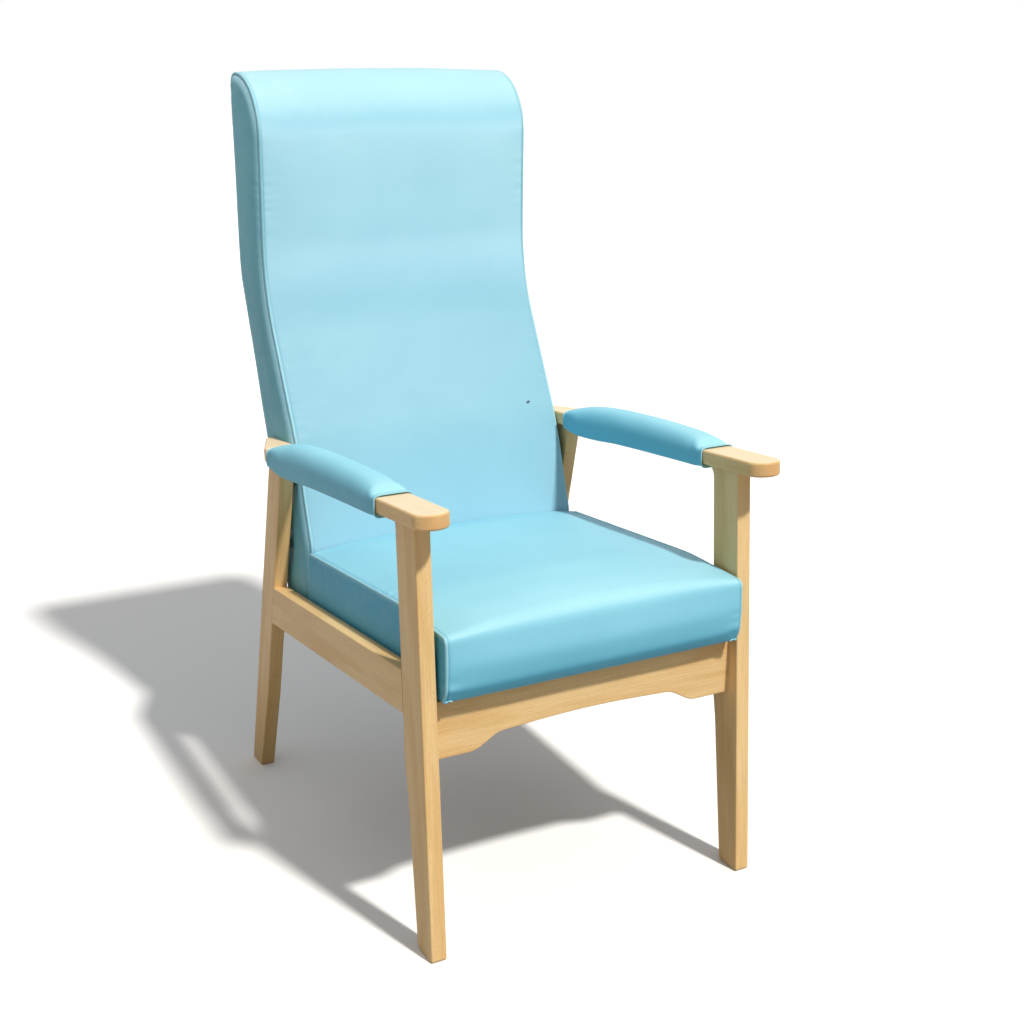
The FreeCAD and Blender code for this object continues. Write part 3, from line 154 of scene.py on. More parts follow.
def beech(name, grain, turn, shift, painted_top_highlight=False):
    """Lacquered beech whose grain runs along a direction; when asked, its upward faces get a paler
    painted highlight.
    """
    material, tree, shader = new_material(name)
    broad = object_coordinates(tree, turn, (1.1, 9, 9), shift)
    figure = noise(tree, broad, 3.2, 3.0, 0.55, 0.6)
    colour = colour_ramp(tree, figure, [(0.32, BEECH_HONEY), (0.62, BEECH_PALE)], "EASE")
    fibres = noise(tree, object_coordinates(tree, turn, (12, 520, 520), shift), 1.0, 3.0, 0.6)
    streaks = colour_ramp(tree, fibres, [(0.3, (0.86, 0.84, 0.82, 1)), (0.7, (1.06, 1.06, 1.05, 1))])
    colour = mix_colours(tree, 0.75, colour, streaks, "MULTIPLY")
    flecks = noise(tree, object_coordinates(tree, turn, (190, 1150, 1150), shift), 1.0, 1.0, 0.4)
    fleck_mask = colour_ramp(tree, flecks, [(0.60, grey(0)), (0.70, grey(1))])
    fleck_share = arithmetic(tree, "MULTIPLY", fleck_mask, 0.34)
    colour = mix_colours(tree, fleck_share, colour, BEECH_FLECK)
    end = arithmetic(tree, "ABSOLUTE", facing(tree, grain), 0)
    end_share = colour_ramp(tree, end, [(0.45, grey(0)), (0.95, grey(0.62))], "EASE")
    colour = mix_colours(tree, end_share, colour, BEECH_END)
    # Painted highlight: faces turned upwards are painted paler.
    if painted_top_highlight:
        top_highlight_share = colour_ramp(tree, facing(tree, (0, 0, 1)), [(0.75, grey(0)), (0.97, grey(0.7))], "EASE")
        colour = mix_colours(tree, top_highlight_share, colour, BEECH_PAINTED_HIGHLIGHT)
    rough = colour_ramp(tree, fibres, [(0.2, grey(0.36)), (0.8, grey(0.50))])
    surface(tree, shader, colour, rough)
    set_values(shader, Specular_IOR_Level=0.14, Coat_Weight=0.05, Coat_Roughness=0.28)
    bumped(tree, shader, (fibres, 0.12, 0.0004))
    return material


def dress(node_name, material):
    piece = nodes[node_name]
    piece.data.materials.clear()
    piece.data.materials.append(material)


FRONT_LEG_LEAN, REAR_LEG_LEAN, FRAME_PITCH = 0.073, -0.2335, -0.1
shift_count = 0
for stem, direction in (
    ("front_leg", (0, FRONT_LEG_LEAN, 1)),
    ("rear_leg", (0, REAR_LEG_LEAN, 1)),
    ("side_rail", (0, 1, FRAME_PITCH)),
    ("arm", (0, 1, FRAME_PITCH)),
    ("front_rail", (1, 0, 0)),
    ("rear_rail", (1, 0, 0)),
):
    along = Vector(direction).normalized()
    turn = along.rotation_difference(Vector((1, 0, 0))).to_euler()
    for node_name in [n for n in sorted(nodes) if n.startswith(stem) and "pad" not in n]:
        shift_count += 1
        shift = (0.37 * shift_count, 0.21 * shift_count, 0.13 * shift_count)
        dress(node_name, beech("beech_" + node_name, along, turn, shift, painted_top_highlight=stem == "arm"))

# Seat cushion
# One foam block on a hardwood frame under light blue vinyl: a long panel runs up the front, over the
# top and down behind, and flat side panels are sewn to it with a piped seam. The top is crowned, the
# front bows out and tucks under at its foot, and the cover is pulled tight and stapled beneath.
MILLIMETRE = 0.001
CHAIR_MIDDLE = 396.04
# Painted light: the vinyl's colour follows how far each face turns towards this direction, up and to
# the front.
PAINTED_LIGHT_FROM = (0.0, -0.45, 0.89)
# Painted light: a paler colour multiplied in towards the top of the back, reached in full at this
# height.
PAINTED_TOP_LIGHT = (1.26, 1.22, 1.19, 1.0)
PAINTED_TOP_LIGHT_LEVEL = 0.97
# Painted light and shade for the seat: the deepest colour, on faces turned away, is painted shade; the
# palest, on faces turned to the light, is painted light.
SEAT_PAINTED_LIGHT_TONES = [
    (0.05, (0.082, 0.39, 0.56, 1.0)),
    (0.45, (0.205, 0.555, 0.71, 1.0)),
    (0.80, (0.27, 0.60, 0.73, 1.0)),
    (0.97, (0.345, 0.66, 0.76, 1.0)),
]
# Painted light on the piping: paler where it turns towards the light.
PIPING_PAINTED_LIGHT_TONES = [
    (0.00, (0.24, 0.55, 0.67, 1.0)),
    (0.80, (0.34, 0.62, 0.70, 1.0)),
]
SEAT_HALF = 239.0
SEAT_CROWN = 15.5
PIPING_RADIUS = 2.4
PIPING_WOBBLE = 0.0006
SEAM_DEPTH = 3.4
BESIDE_SEAM = 1.2
UNPIPED_DEPTH = 0.35
OUTLINE_SPACING = 1.2
SEAT_PIPING_INSET = 2.4
CROWN_POWER = 2.4
SEAMWARD_CROWDING = 1.25
STUFFING_FRAMES = 20
SEAM_SPACING = 8.0
CORD_STEP = 0.003


def vinyl(name, painted_light_tones, painted_light_above=None):
    """Upholstery vinyl: pressed grain, a soft sheen, and painted light: paler on faces turned up and to
    the front, deeper on the shaded sides, and, when a height is given, paler still above it.
    """
    material, tree, shader = new_material(name)
    place = object_coordinates(tree)
    # Painted light and shade: the colour is picked by the face's direction.
    colour = colour_ramp(tree, facing(tree, PAINTED_LIGHT_FROM), painted_light_tones, "CARDINAL")
    # Painted light: paler towards the top, from the given height upwards.
    if painted_light_above is not None:
        level = tree.nodes.new("ShaderNodeSeparateXYZ")
        tree.links.new(place, level.inputs[0])
        stops = [(painted_light_above, grey(1)), (PAINTED_TOP_LIGHT_LEVEL, PAINTED_TOP_LIGHT)]
        painted_top_light = colour_ramp(tree, level.outputs["Z"], stops, "EASE")
        colour = mix_colours(tree, 1.0, colour, painted_top_light, "MULTIPLY")
    cloudy = noise(tree, place, 7.0, 3.0, 0.5)
    uneven = colour_ramp(tree, cloudy, [(0.35, (0.94, 0.96, 0.97, 1)), (0.65, grey(1))], "EASE")
    colour = mix_colours(tree, 0.8, colour, uneven, "MULTIPLY")
    pebble = add_node(tree, "ShaderNodeTexVoronoi", feature="SMOOTH_F1", Scale=900, Smoothness=0.6)
    tree.links.new(place, pebble.inputs["Vector"])
    pores = [(0.25, (0.93, 0.95, 0.96, 1)), (0.6, grey(1))]
    pressed = colour_ramp(tree, pebble.outputs["Distance"], pores)
    colour = mix_colours(tree, 0.6, colour, pressed, "MULTIPLY")
    wander = noise(tree, place, 60.0, 2.0, 0.5)
    rough = colour_ramp(tree, wander, [(0.3, grey(0.48)), (0.7, grey(0.58))])
    surface(tree, shader, colour, rough)
    set_values(shader, Specular_IOR_Level=0.22, Sheen_Weight=0.03, Sheen_Roughness=0.45)
    bumped(tree, shader, (wander, 0.08, 0.002), (pebble.outputs["Distance"], 0.22, 0.0003))
    return material


def in_frame(places):
    """The frame's metres, from millimetres with the depth measured from the front foot's toe."""
    return (np.array(places) - (0, CHAIR_MIDDLE, 0)) * MILLIMETRE


def resampled(line, count):
    """The same line with evenly spaced points."""
    lengths = np.r_[0, np.cumsum(np.linalg.norm(np.diff(line, axis=0), axis=1))]
    wanted = np.linspace(0, lengths[-1], count)
    return np.stack([np.interp(wanted, lengths, line[:, k]) for k in range(line.shape[1])], axis=1)


def rounded_line(corners, spacing, closed=False):
    """Evenly spaced points along straight runs and arcs; a corner is (depth, height, radius)."""
    count = len(corners)
    points = []
    for index, (y, z, radius) in enumerate(corners):
        here = Vector((y, z))
        ends = not closed and index in (0, count - 1)
        if ends or not radius:
            points.append(here)
            continue
        back = (Vector(corners[index - 1][:2]) - here).normalized()
        ahead = (Vector(corners[(index + 1) % count][:2]) - here).normalized()
        turn = math.pi - back.angle(ahead)
        reach = radius * math.tan(turn / 2)
        centre = here + (back + ahead).normalized() * (radius / math.cos(turn / 2))
        start = (here + back * reach - centre).normalized()
        end = (here + ahead * reach - centre).normalized()
        steps = max(3, int(turn * radius / spacing) + 1)
        for step in range(steps + 1):
            share = step / steps
            blend = start * math.sin((1 - share) * turn) + end * math.sin(share * turn)
            points.append(centre + blend.normalized() * radius)
    if closed:
        points.append(points[0])
    line = np.array([tuple(p) for p in points])
    length = np.linalg.norm(np.diff(line, axis=0), axis=1).sum()
    return resampled(line, max(2, int(round(length / spacing))) + 1)


def drawn_in(corners, inset):
    """The outline moved inwards; it runs clockwise as seen with the front on the left."""
    count = len(corners)
    moved = []
    for index, (y, z, radius) in enumerate(corners):
        first = (Vector((y, z)) - Vector(corners[index - 1][:2])).normalized()
        second = (Vector(corners[(index + 1) % count][:2]) - Vector((y, z))).normalized()
        normal = Vector((first.y, -first.x))
        other = Vector((second.y, -second.x))
        shift = (normal + other) * (inset / (1 + normal.dot(other)))
        bends_in = first.x * second.y - first.y * second.x < 0
        rounder = max(radius - inset, 0.3) if bends_in else radius + inset
        moved.append((y + shift.x, z + shift.y, rounder if radius else 0))
    return moved


def swell(share):
    """How much of its crown a cushion has at a share of its half width."""
    return 1 - np.abs(share) ** CROWN_POWER


def crowded_ends(count, crowding):
    """Numbers from -1 to 1 that stand closer together towards both ends."""
    return np.sin(np.linspace(-crowding, crowding, count)) / math.sin(crowding)


def four_sides(corners, marks, cells):
    """The outline cut at four marked corners, with so many even cells on each of its sides."""
    line = rounded_line(corners, OUTLINE_SPACING, closed=True)[:-1]
    starts = [int(np.argmin(np.hypot(*(line - corners[mark][:2]).T))) for mark in marks]
    points = []
    for side in range(4):
        first, last = starts[side], starts[(side + 1) % 4]
        run = line[first : last + 1] if last > first else np.r_[line[first:], line[: last + 1]]
        points.append(resampled(run, cells[side % 2] + 1)[:-1])
    return np.concatenate(points)


def new_object(name, data):
    thing = bpy.data.objects.new(name, data)
    bpy.context.scene.collection.objects.link(thing)
    return thing


def tube_faces(rows, ring, closed=False, start=0):
    """Faces between rings of points that follow each other; closed joins the last ring to the first."""
    faces = []
    for row in range(rows if closed else rows - 1):
        here, following = start + row * ring, start + (row + 1) % rows * ring
        for k in range(ring):
            beside = (k + 1) % ring
            faces.append((here + k, here + beside, following + beside, following + k))
    return faces


def mesh_piece(name, vertices, faces):
    mesh = bpy.data.meshes.new(name)
    mesh.from_pydata([tuple(v) for v in vertices], [], faces)
    shell = bmesh.new()
    shell.from_mesh(mesh)
    bmesh.ops.recalc_face_normals(shell, faces=shell.faces)
    shell.to_mesh(mesh)
    shell.free()
    return new_object(name, mesh)


def sewn_block(name, outline, half, marks, cells, across, piped, hollow):
    """Makes a closed block of panels, and says how firmly each of its points is held.

    The outline changes across the width. Rows beside each piped seam dip to a groove for the cord, and
    hollow moves the points of the open side inwards, so that the frame fits in.
    """
    tall, deep = cells
    spread = crowded_ends(across, SEAMWARD_CROWDING)
    edge = half - SEAM_DEPTH - BESIDE_SEAM
    rows = [(x, x / edge, 0.0) for x in spread * edge]
    for inset, x in ((SEAM_DEPTH, half - SEAM_DEPTH), (SEAM_DEPTH + 1.0, half)):
        rows = [(-x, -1, inset)] + rows + [(x, 1, inset)]
    ring = 2 * (tall + deep)
    side_of = np.repeat([0, 1, 2, 3], [tall, deep, tall, deep])
    depth_share = np.where(piped[side_of], 1.0, UNPIPED_DEPTH)[:, None]
    vertices, held = [], []
    for x, share, inset in rows:
        full = four_sides(outline(share), marks, cells)
        line = full if not inset else four_sides(drawn_in(outline(share), inset), marks, cells)
        line = full + (line - full) * depth_share
        line, fixed = hollow(x, line, side_of)
        vertices.append(np.c_[np.full(ring, x), line])
        held.append(np.where(fixed, 1.0, 1.0 if inset else 0.0))
    faces = tube_faces(len(rows), ring)
    count = len(rows) * ring
    for end in (0, len(rows) - 1):
        rim = vertices[end]
        base = end * ring
        inner = {}
        extra = []
        for i in range(tall + 1):
            for j in range(deep + 1):
                if i == 0:
                    inner[i, j] = base + (ring - j) % ring
                elif i == tall:
                    inner[i, j] = base + tall + j
                elif j == 0:
                    inner[i, j] = base + i
                elif j == deep:
                    inner[i, j] = base + 2 * tall + deep - i
                else:
                    u, v = i / tall, j / deep
                    near, far = rim[i], rim[2 * tall + deep - i]
                    low, high = rim[(ring - j) % ring], rim[tall + j]
                    corner = (1 - u) * ((1 - v) * rim[0] + v * rim[2 * tall + deep])
                    corner += u * ((1 - v) * rim[tall] + v * rim[tall + deep])
                    extra.append((1 - v) * near + v * far + (1 - u) * low + u * high - corner)
                    inner[i, j] = count
                    count += 1
        vertices.append(np.array(extra))
        held.append(np.zeros(len(extra)))
        for i in range(tall):
            for j in range(deep):
                faces.append((inner[i, j], inner[i + 1, j], inner[i + 1, j + 1], inner[i, j + 1]))
    return mesh_piece(name, in_frame(np.concatenate(vertices)), faces), np.concatenate(held)


def applied(piece):
    """Works the piece's modifiers into its mesh."""
    ready = piece.evaluated_get(bpy.context.evaluated_depsgraph_get())
    mesh = bpy.data.meshes.new_from_object(ready)
    old = piece.data
    piece.modifiers.clear()
    piece.data = mesh
    bpy.data.meshes.remove(old)
    mesh.name = piece.name


def read_all(piece, what="co"):
    flat = np.zeros(len(piece.data.vertices) * 3)
    piece.data.vertices.foreach_get(what, flat)
    return flat.reshape(-1, 3)


def in_millimetres(piece):
    """The reverse of in_frame, for a piece's points."""
    return read_all(piece) / MILLIMETRE + (0, CHAIR_MIDDLE, 0)


def place_all(piece, places):
    piece.data.vertices.foreach_set("co", places.ravel())
    piece.data.update()


def evened(piece, moved, held, rounds):
    """Foam evens out the cover's creases: each point takes on the mean move of its neighbours."""
    ends = np.zeros(len(piece.data.edges) * 2, dtype=int)
    piece.data.edges.foreach_get("vertices", ends)
    first, second = ends.reshape(-1, 2).T
    count = np.bincount(ends, minlength=len(moved))[:, None]
    free = (held < 0.95)[:, None]
    for _ in range(rounds):
        total = np.zeros_like(moved)
        np.add.at(total, first, moved[second])
        np.add.at(total, second, moved[first])
        moved = np.where(free, 0.4 * moved + 0.6 * total / count, moved)
    return moved


def stuffed(piece, held, pressure, stiffness, most, smoothing):
    """Cloth pressed out by the filling; held says how firmly each point is sewn or stapled down."""
    group = piece.vertex_groups.new(name="held")
    steps = np.round(held, 1)
    for level in np.unique(steps[steps > 0]):
        group.add(np.flatnonzero(steps == level).tolist(), float(level), "REPLACE")
    before = read_all(piece)
    cloth = piece.modifiers.new("cover", "CLOTH")
    settings = cloth.settings
    settings.quality = 4
    settings.mass = 0.3
    settings.tension_stiffness = stiffness
    settings.compression_stiffness = stiffness
    settings.shear_stiffness = stiffness / 2
    settings.bending_stiffness = 1.0
    settings.use_pressure = True
    settings.uniform_pressure_force = pressure
    settings.effector_weights.gravity = 0
    settings.vertex_group_mass = "held"
    cloth.point_cache.frame_start = 1
    cloth.point_cache.frame_end = STUFFING_FRAMES
    for number in range(1, STUFFING_FRAMES + 1):
        bpy.context.scene.frame_set(number)
    ready = piece.evaluated_get(bpy.context.evaluated_depsgraph_get())
    after = np.zeros(len(before) * 3)
    ready.data.vertices.foreach_get("co", after)
    moved = after.reshape(-1, 3) - before
    length = np.linalg.norm(moved, axis=1, keepdims=True)
    moved *= np.minimum(1, most * MILLIMETRE / np.maximum(length, 1e-9))
    moved = evened(piece, moved, held, smoothing)
    piece.modifiers.clear()
    piece.vertex_groups.clear()
    place_all(piece, before + moved)
    bpy.context.scene.frame_set(1)


def smooth_shaded(piece):
    piece.data.polygons.foreach_set("use_smooth", [True] * len(piece.data.polygons))


def finer(piece):
    smooth = piece.modifiers.new("finer", "SUBSURF")
    smooth.levels = smooth.render_levels = 1
    applied(piece)
    smooth_shaded(piece)


def distance_to_line(places, line):
    """Distance of each place to a line of points, and how far along the line that is."""
    near = np.full(len(places), 1e9)
    along = np.zeros(len(places))
    run = 0.0
    for first, second in zip(line[:-1], line[1:]):
        step = second - first
        length = np.linalg.norm(step)
        share = np.clip((places - first) @ step / length ** 2, 0, 1)
        gap = np.linalg.norm(places - (first + share[:, None] * step), axis=1)
        closer = gap < near
        near[closer] = gap[closer]
        along[closer] = run + share[closer] * length
        run += length
    return near, along


def gathered(piece, line, pucker, reach, phase):
    """Small puckers beside a seam, uneven along it, that fade away from it."""
    places, normals = read_all(piece), read_all(piece, "normal")
    side = math.copysign(1, line[0, 0])
    close = np.flatnonzero(side * places[:, 0] > abs(line[0, 0]) - 2 * reach * MILLIMETRE)
    near, along = distance_to_line(places[close], line)
    near, along = near / MILLIMETRE, along / MILLIMETRE
    wave = np.sin(along * 0.39 + phase + 2.3 * np.sin(along * 0.057 + phase))
    wave += 0.7 * np.sin(along * 0.16 + 2 * phase)
    patch = np.clip(0.35 + np.sin(along * 0.021 + 3 * phase) + 0.6 * np.sin(along * 0.049), 0.1, 1.3)
    ripple = pucker * wave * patch * np.exp(-((near / reach) ** 2)) * (1 - np.exp(-((near / 5) ** 2)))
    places[close] -= normals[close] * (ripple * MILLIMETRE)[:, None]
    place_all(piece, places)


def lived_in(piece, amount, phase):
    """Long, shallow unevenness of foam under a tight cover, in millimetres."""
    places, normals = read_all(piece), read_all(piece, "normal")
    x, y, z = places.T * 10
    wave = np.sin(2.1 * x + 1.3 * y + phase) * np.sin(1.7 * z + 2.2 * y + 2 * phase)
    wave += 0.6 * np.sin(4.3 * x - 2.1 * z + 3 * phase) * np.sin(3.9 * y + 1.1 * z + phase)
    place_all(piece, places + normals * (wave * amount * MILLIMETRE)[:, None])


def seam_line(outline, inset, x, last=None):
    """The seam's path in metres, from a side outline drawn in and an X in millimetres."""
    line = rounded_line(drawn_in(outline, inset)[:last], SEAM_SPACING)
    return in_frame(np.c_[np.full(len(line), x), line])


def cord_tree(name, sides):
    """Geometry Nodes: a round cord along a curve, a little uneven, with closed ends and a material."""
    tree = bpy.data.node_groups.new(name, "GeometryNodeTree")
    sockets = {"Geometry": "Geometry", "Radius": "Float", "Wobble": "Float", "Material": "Material"}
    for label, kind in sockets.items():
        tree.interface.new_socket(label, in_out="INPUT", socket_type="NodeSocket" + kind)
    tree.interface.new_socket("Geometry", in_out="OUTPUT", socket_type="NodeSocketGeometry")
    start, end = tree.nodes.new("NodeGroupInput"), tree.nodes.new("NodeGroupOutput")
    even = add_node(tree, "GeometryNodeResampleCurve", mode="LENGTH", Length=CORD_STEP)
    circle = add_node(tree, "GeometryNodeCurvePrimitiveCircle", Resolution=sides)
    swept = add_node(tree, "GeometryNodeCurveToMesh", Fill_Caps=True)
    texture = add_node(tree, "ShaderNodeTexNoise", Scale=70.0)
    normal = tree.nodes.new("GeometryNodeInputNormal")
    along = add_node(tree, "ShaderNodeVectorMath", operation="SCALE")
    moved = tree.nodes.new("GeometryNodeSetPosition")
    shaded = tree.nodes.new("GeometryNodeSetShadeSmooth")
    real = tree.nodes.new("GeometryNodeRealizeInstances")
    finish = tree.nodes.new("GeometryNodeSetMaterial")
    link = tree.links.new
    centred = arithmetic(tree, "SUBTRACT", texture.outputs["Fac"], 0.5)
    link(start.outputs["Geometry"], even.inputs["Curve"])
    link(even.outputs["Curve"], swept.inputs["Curve"])
    link(start.outputs["Radius"], circle.inputs["Radius"])
    link(circle.outputs["Curve"], swept.inputs["Profile Curve"])
    link(swept.outputs["Mesh"], moved.inputs["Geometry"])
    link(normal.outputs[0], along.inputs[0])
    link(arithmetic(tree, "MULTIPLY", centred, start.outputs["Wobble"]), along.inputs["Scale"])
    link(along.outputs[0], moved.inputs["Offset"])
    link(moved.outputs["Geometry"], shaded.inputs["Geometry"])
    link(shaded.outputs["Geometry"], real.inputs["Geometry"])
    link(real.outputs["Geometry"], finish.inputs["Geometry"])
    link(start.outputs["Material"], finish.inputs["Material"])
    link(finish.outputs["Geometry"], end.inputs["Geometry"])
    return tree


def made_by_nodes(name, source, tree, **values):
    """Runs a Geometry Nodes tree on a curve or mesh and keeps the result as a plain mesh piece."""
    modifier = source.modifiers.new("build", "NODES")
    modifier.node_group = tree
    sockets = {s.name: s.identifier for s in tree.interface.items_tree if s.in_out == "INPUT"}
    for label, value in values.items():
        modifier[sockets[label]] = value
    ready = source.evaluated_get(bpy.context.evaluated_depsgraph_get())
    mesh = bpy.data.meshes.new_from_object(ready)
    mesh.name = name
    bpy.data.objects.remove(source)
    return new_object(name, mesh)


def curve_along(name, line):
    """A curve object with one straight-run spline through the points."""
    curve = bpy.data.curves.new(name, "CURVE")
    curve.dimensions = "3D"
    spline = curve.splines.new("POLY")
    spline.points.add(len(line) - 1)
    for point, place in zip(spline.points, line):
        point.co = (*place, 1)
    return new_object(name, curve)


def piping(name, line, replaced):
    """A welt cord covered in vinyl, lying in the groove between two panels."""
    path = curve_along(name + "_path", line)
    cord = made_by_nodes(
        name,
        path,
        piping_tree,
        Radius=PIPING_RADIUS * MILLIMETRE,
        Wobble=PIPING_WOBBLE,
        Material=piping_vinyl,
    )
    dressed(cord, "piping", replaced)


def dressed(piece, slot_name, *replaced):
    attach(piece, "root")
    if replaced:
        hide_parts(*replaced)


def seat_outline(share):
    """The seat from the side: the foot tucks under, the face bows out and the top edge is rolled."""
    lift = float(swell(share))
    crown = SEAT_CROWN * lift
    return [
        (21.5, 375, 2),
        (12, 394.5, 20),
        (10.5 - 1.5 * lift, 430, 120),
        (12.5 - 1.5 * lift, 472 + crown, 7 + 15 * lift),
        (150, 472 + crown, 478),
        (504 - 4.5 * lift, 436.6 + crown, 8),
        (504 - 4.5 * lift, 326.6 + 0.45 * lift, 2),
    ]


SEAT_CAVITY_HALF = 229.3
SEAT_CAVITY_FRONT, SEAT_CAVITY_REAR = 29.5, 490.5
SEAT_CAVITY_RISE = 46.5


def seat_hollow(x, line, side_of):
    """The underside is open inside the turned-under edge, where the frame and webbing sit."""
    below = side_of == 3
    inside = below & (line[:, 0] > SEAT_CAVITY_FRONT) & (line[:, 0] < SEAT_CAVITY_REAR)
    inside &= abs(x) < SEAT_CAVITY_HALF
    line = line.copy()
    line[inside, 1] += SEAT_CAVITY_RISE
    return line, below


seat_vinyl = vinyl("seat_vinyl", SEAT_PAINTED_LIGHT_TONES)
piping_vinyl = vinyl("piping_vinyl", PIPING_PAINTED_LIGHT_TONES)
piping_tree = cord_tree("piped_cord", 14)
seat, held = sewn_block(
    "seat_cushion",
    seat_outline,
    SEAT_HALF,
    marks=(0, 3, 5, 6),
    cells=(17, 72),
    across=50,
    piped=np.array([True, True, True, False]),
    hollow=seat_hollow,
)
stuffed(seat, held, pressure=4.0, stiffness=14.0, most=5.0, smoothing=40)
finer(seat)
seat_seams = [
    seam_line(seat_outline(1), SEAT_PIPING_INSET, side * (SEAT_HALF - SEAT_PIPING_INSET))
    for side in (-1, 1)
]
for number, line in enumerate(seat_seams):
    gathered(seat, line, pucker=0.42, reach=17.0, phase=0.8 + 2.1 * number)
lived_in(seat, amount=0.25, phase=0.7)
seat.data.materials.append(seat_vinyl)
dressed(seat, "vinyl", "seat_foam", "seat_cover", "seat_side_panel_left", "seat_side_panel_right")
for side, line in zip(("left", "right"), seat_seams):
    piping("seat_welt_" + side, line, "seat_piping_" + side)

# Back cushion
# A tall S-shaped back on two sawn stiles: a lumbar swell, a hollow at the neck and a rolled head. Its
# front panel runs from under the seat over the roll to a tuck behind, and borders are piped to it.
BACK_HALF = 232.0
BACK_CROWN = 9.0
BACK_PADDING = 26.0
BACK_OPEN_FROM = 344.0
FOAM_SPACING = 6.0
TUCK_LEVEL = 1117.0
OUTSIDE_RECESS = 2.6
SPACER_PLACES = ((586.2, 530.0), (602.5, 422.0))
SPACER_REACH = 15.0


def back_outline(share):
    """The back from the side, up the front from its foot, over the head and down behind."""
    lift = float(swell(share))
    bulge = BACK_CROWN * lift
    head = 1149 + 4 * lift
    return [
        (505 - bulge * 0.5, 340, 3),
        (505 - bulge * 0.5, 440, 60),
        (555 - bulge, 585, 420),
        (681 - bulge, 822, 320),
        (681 - bulge, head, 96),
        (807, head, 20),
        (805.1, TUCK_LEVEL + 1, 0.6),
        (805.1 - OUTSIDE_RECESS, TUCK_LEVEL, 0.6),
        (788 - OUTSIDE_RECESS, 829, 150),
        (667 - OUTSIDE_RECESS, 520, 200),
        (619 - OUTSIDE_RECESS, 340, 3),
    ]


foam_rear = rounded_line(drawn_in(back_outline(1), BACK_PADDING)[:6], FOAM_SPACING)


def back_hollow(x, line, side_of):
    """Behind, the block is open between its borders, where the stiles, rails and webbing sit."""
    rear = side_of == 2
    inside = rear & (line[:, 1] < TUCK_LEVEL - 4) & (line[:, 1] > BACK_OPEN_FROM)
    inside &= abs(x) < BACK_HALF - 1.3
    line = line.copy()
    rising = foam_rear[np.argsort(foam_rear[:, 1])]
    line[inside, 0] = np.interp(line[inside, 1], rising[:, 1], rising[:, 0])
    return line, (side_of >= 2)


back, held = sewn_block(
    "back_cushion",
    back_outline,
    BACK_HALF,
    marks=(0, 4, 6, 10),
    cells=(112, 18),
    across=50,
    piped=np.array([True, True, False, False]),
    hollow=back_hollow,
)
places = in_millimetres(back)
for y, z in SPACER_PLACES:
    from_spacer = np.hypot(places[:, 1] - y, places[:, 2] - z)
    held[(np.abs(places[:, 0]) > BACK_HALF - 1) & (from_spacer < SPACER_REACH)] = 1.0
stuffed(back, held, pressure=4.0, stiffness=14.0, most=6.0, smoothing=60)
finer(back)
back_seams = [
    seam_line(back_outline(1), PIPING_RADIUS, side * (BACK_HALF - PIPING_RADIUS), last=7)
    for side in (-1, 1)
]

BORDER_SWELL, BORDER_FADE, SPACER_FADE = 5.0, 9.0, 30.0
places, normals = read_all(back) / MILLIMETRE, read_all(back, "normal")
rear_line = rounded_line(back_outline(1)[5:], SEAM_SPACING)
rear_edge = np.array([(0, y - CHAIR_MIDDLE, z) for y, z in rear_line])
for side, line in zip((-1, 1), back_seams):
    border = np.flatnonzero(side * normals[:, 0] > 0.3)
    border = border[side * places[border, 0] > BACK_HALF - 6]
    from_seam = distance_to_line(places[border] * MILLIMETRE, line)[0] / MILLIMETRE
    from_rear = distance_to_line(places[border] * (0, 1, 1), rear_edge)[0]
    lift = 1 - np.exp(-((from_seam / BORDER_FADE) ** 2))
    lift *= 1 - np.exp(-((from_rear / BORDER_FADE) ** 2))
    for y, z in SPACER_PLACES:
        from_spacer = np.hypot(places[border, 1] + CHAIR_MIDDLE - y, places[border, 2] - z)
        lift *= 1 - np.exp(-((from_spacer / SPACER_FADE) ** 4))
    places[border, 0] += side * BORDER_SWELL * lift
place_all(back, places * MILLIMETRE)
for number, line in enumerate(back_seams):
    gathered(back, line, pucker=0.2, reach=16.0, phase=0.3 + 1.9 * number)
lived_in(back, amount=0.3, phase=1.9)

# Painted light and shade for the back: deep on faces turned away, paler on faces turned towards the
# light.
BACK_PAINTED_LIGHT_TONES = [
    (0.05, (0.14, 0.43, 0.53, 1.0)),
    (0.50, (0.35, 0.62, 0.74, 1.0)),
    (0.75, (0.27, 0.53, 0.645, 1.0)),
    (0.95, (0.33, 0.57, 0.65, 1.0)),
]
back_vinyl = vinyl("back_vinyl", BACK_PAINTED_LIGHT_TONES, painted_light_above=0.72)
back.data.materials.append(back_vinyl)
dressed(back, "vinyl", "back_foam", "back_cover", "back_border_left", "back_border_right")
for side, line in zip(("left", "right"), back_seams):
    piping("back_welt_" + side, line, "back_piping_" + side)

# Nick in the back
# A small cut in the vinyl low on the right of the back: a near-black pad in it is painted shade for the
# dark inside of the cut, and its lower lip is curled out a little.
NICK_ACROSS, NICK_LEVEL = 182.0, 617.0
NICK_TILT = 0.42
FRONT_FACE_UP_TO = 600.0
FLAP_ROOT = -1.2


def front_of_back(x, z):
    """The place and outward direction of the back's front face at a point seen from the front."""
    places = in_millimetres(back)
    behind_front = np.maximum(places[:, 1] - FRONT_FACE_UP_TO, 0)
    nearest = (np.hypot(places[:, 0] - x, places[:, 2] - z) + 10 * behind_front).argmin()
    return Vector(places[nearest]), Vector(read_all(back, "normal")[nearest])


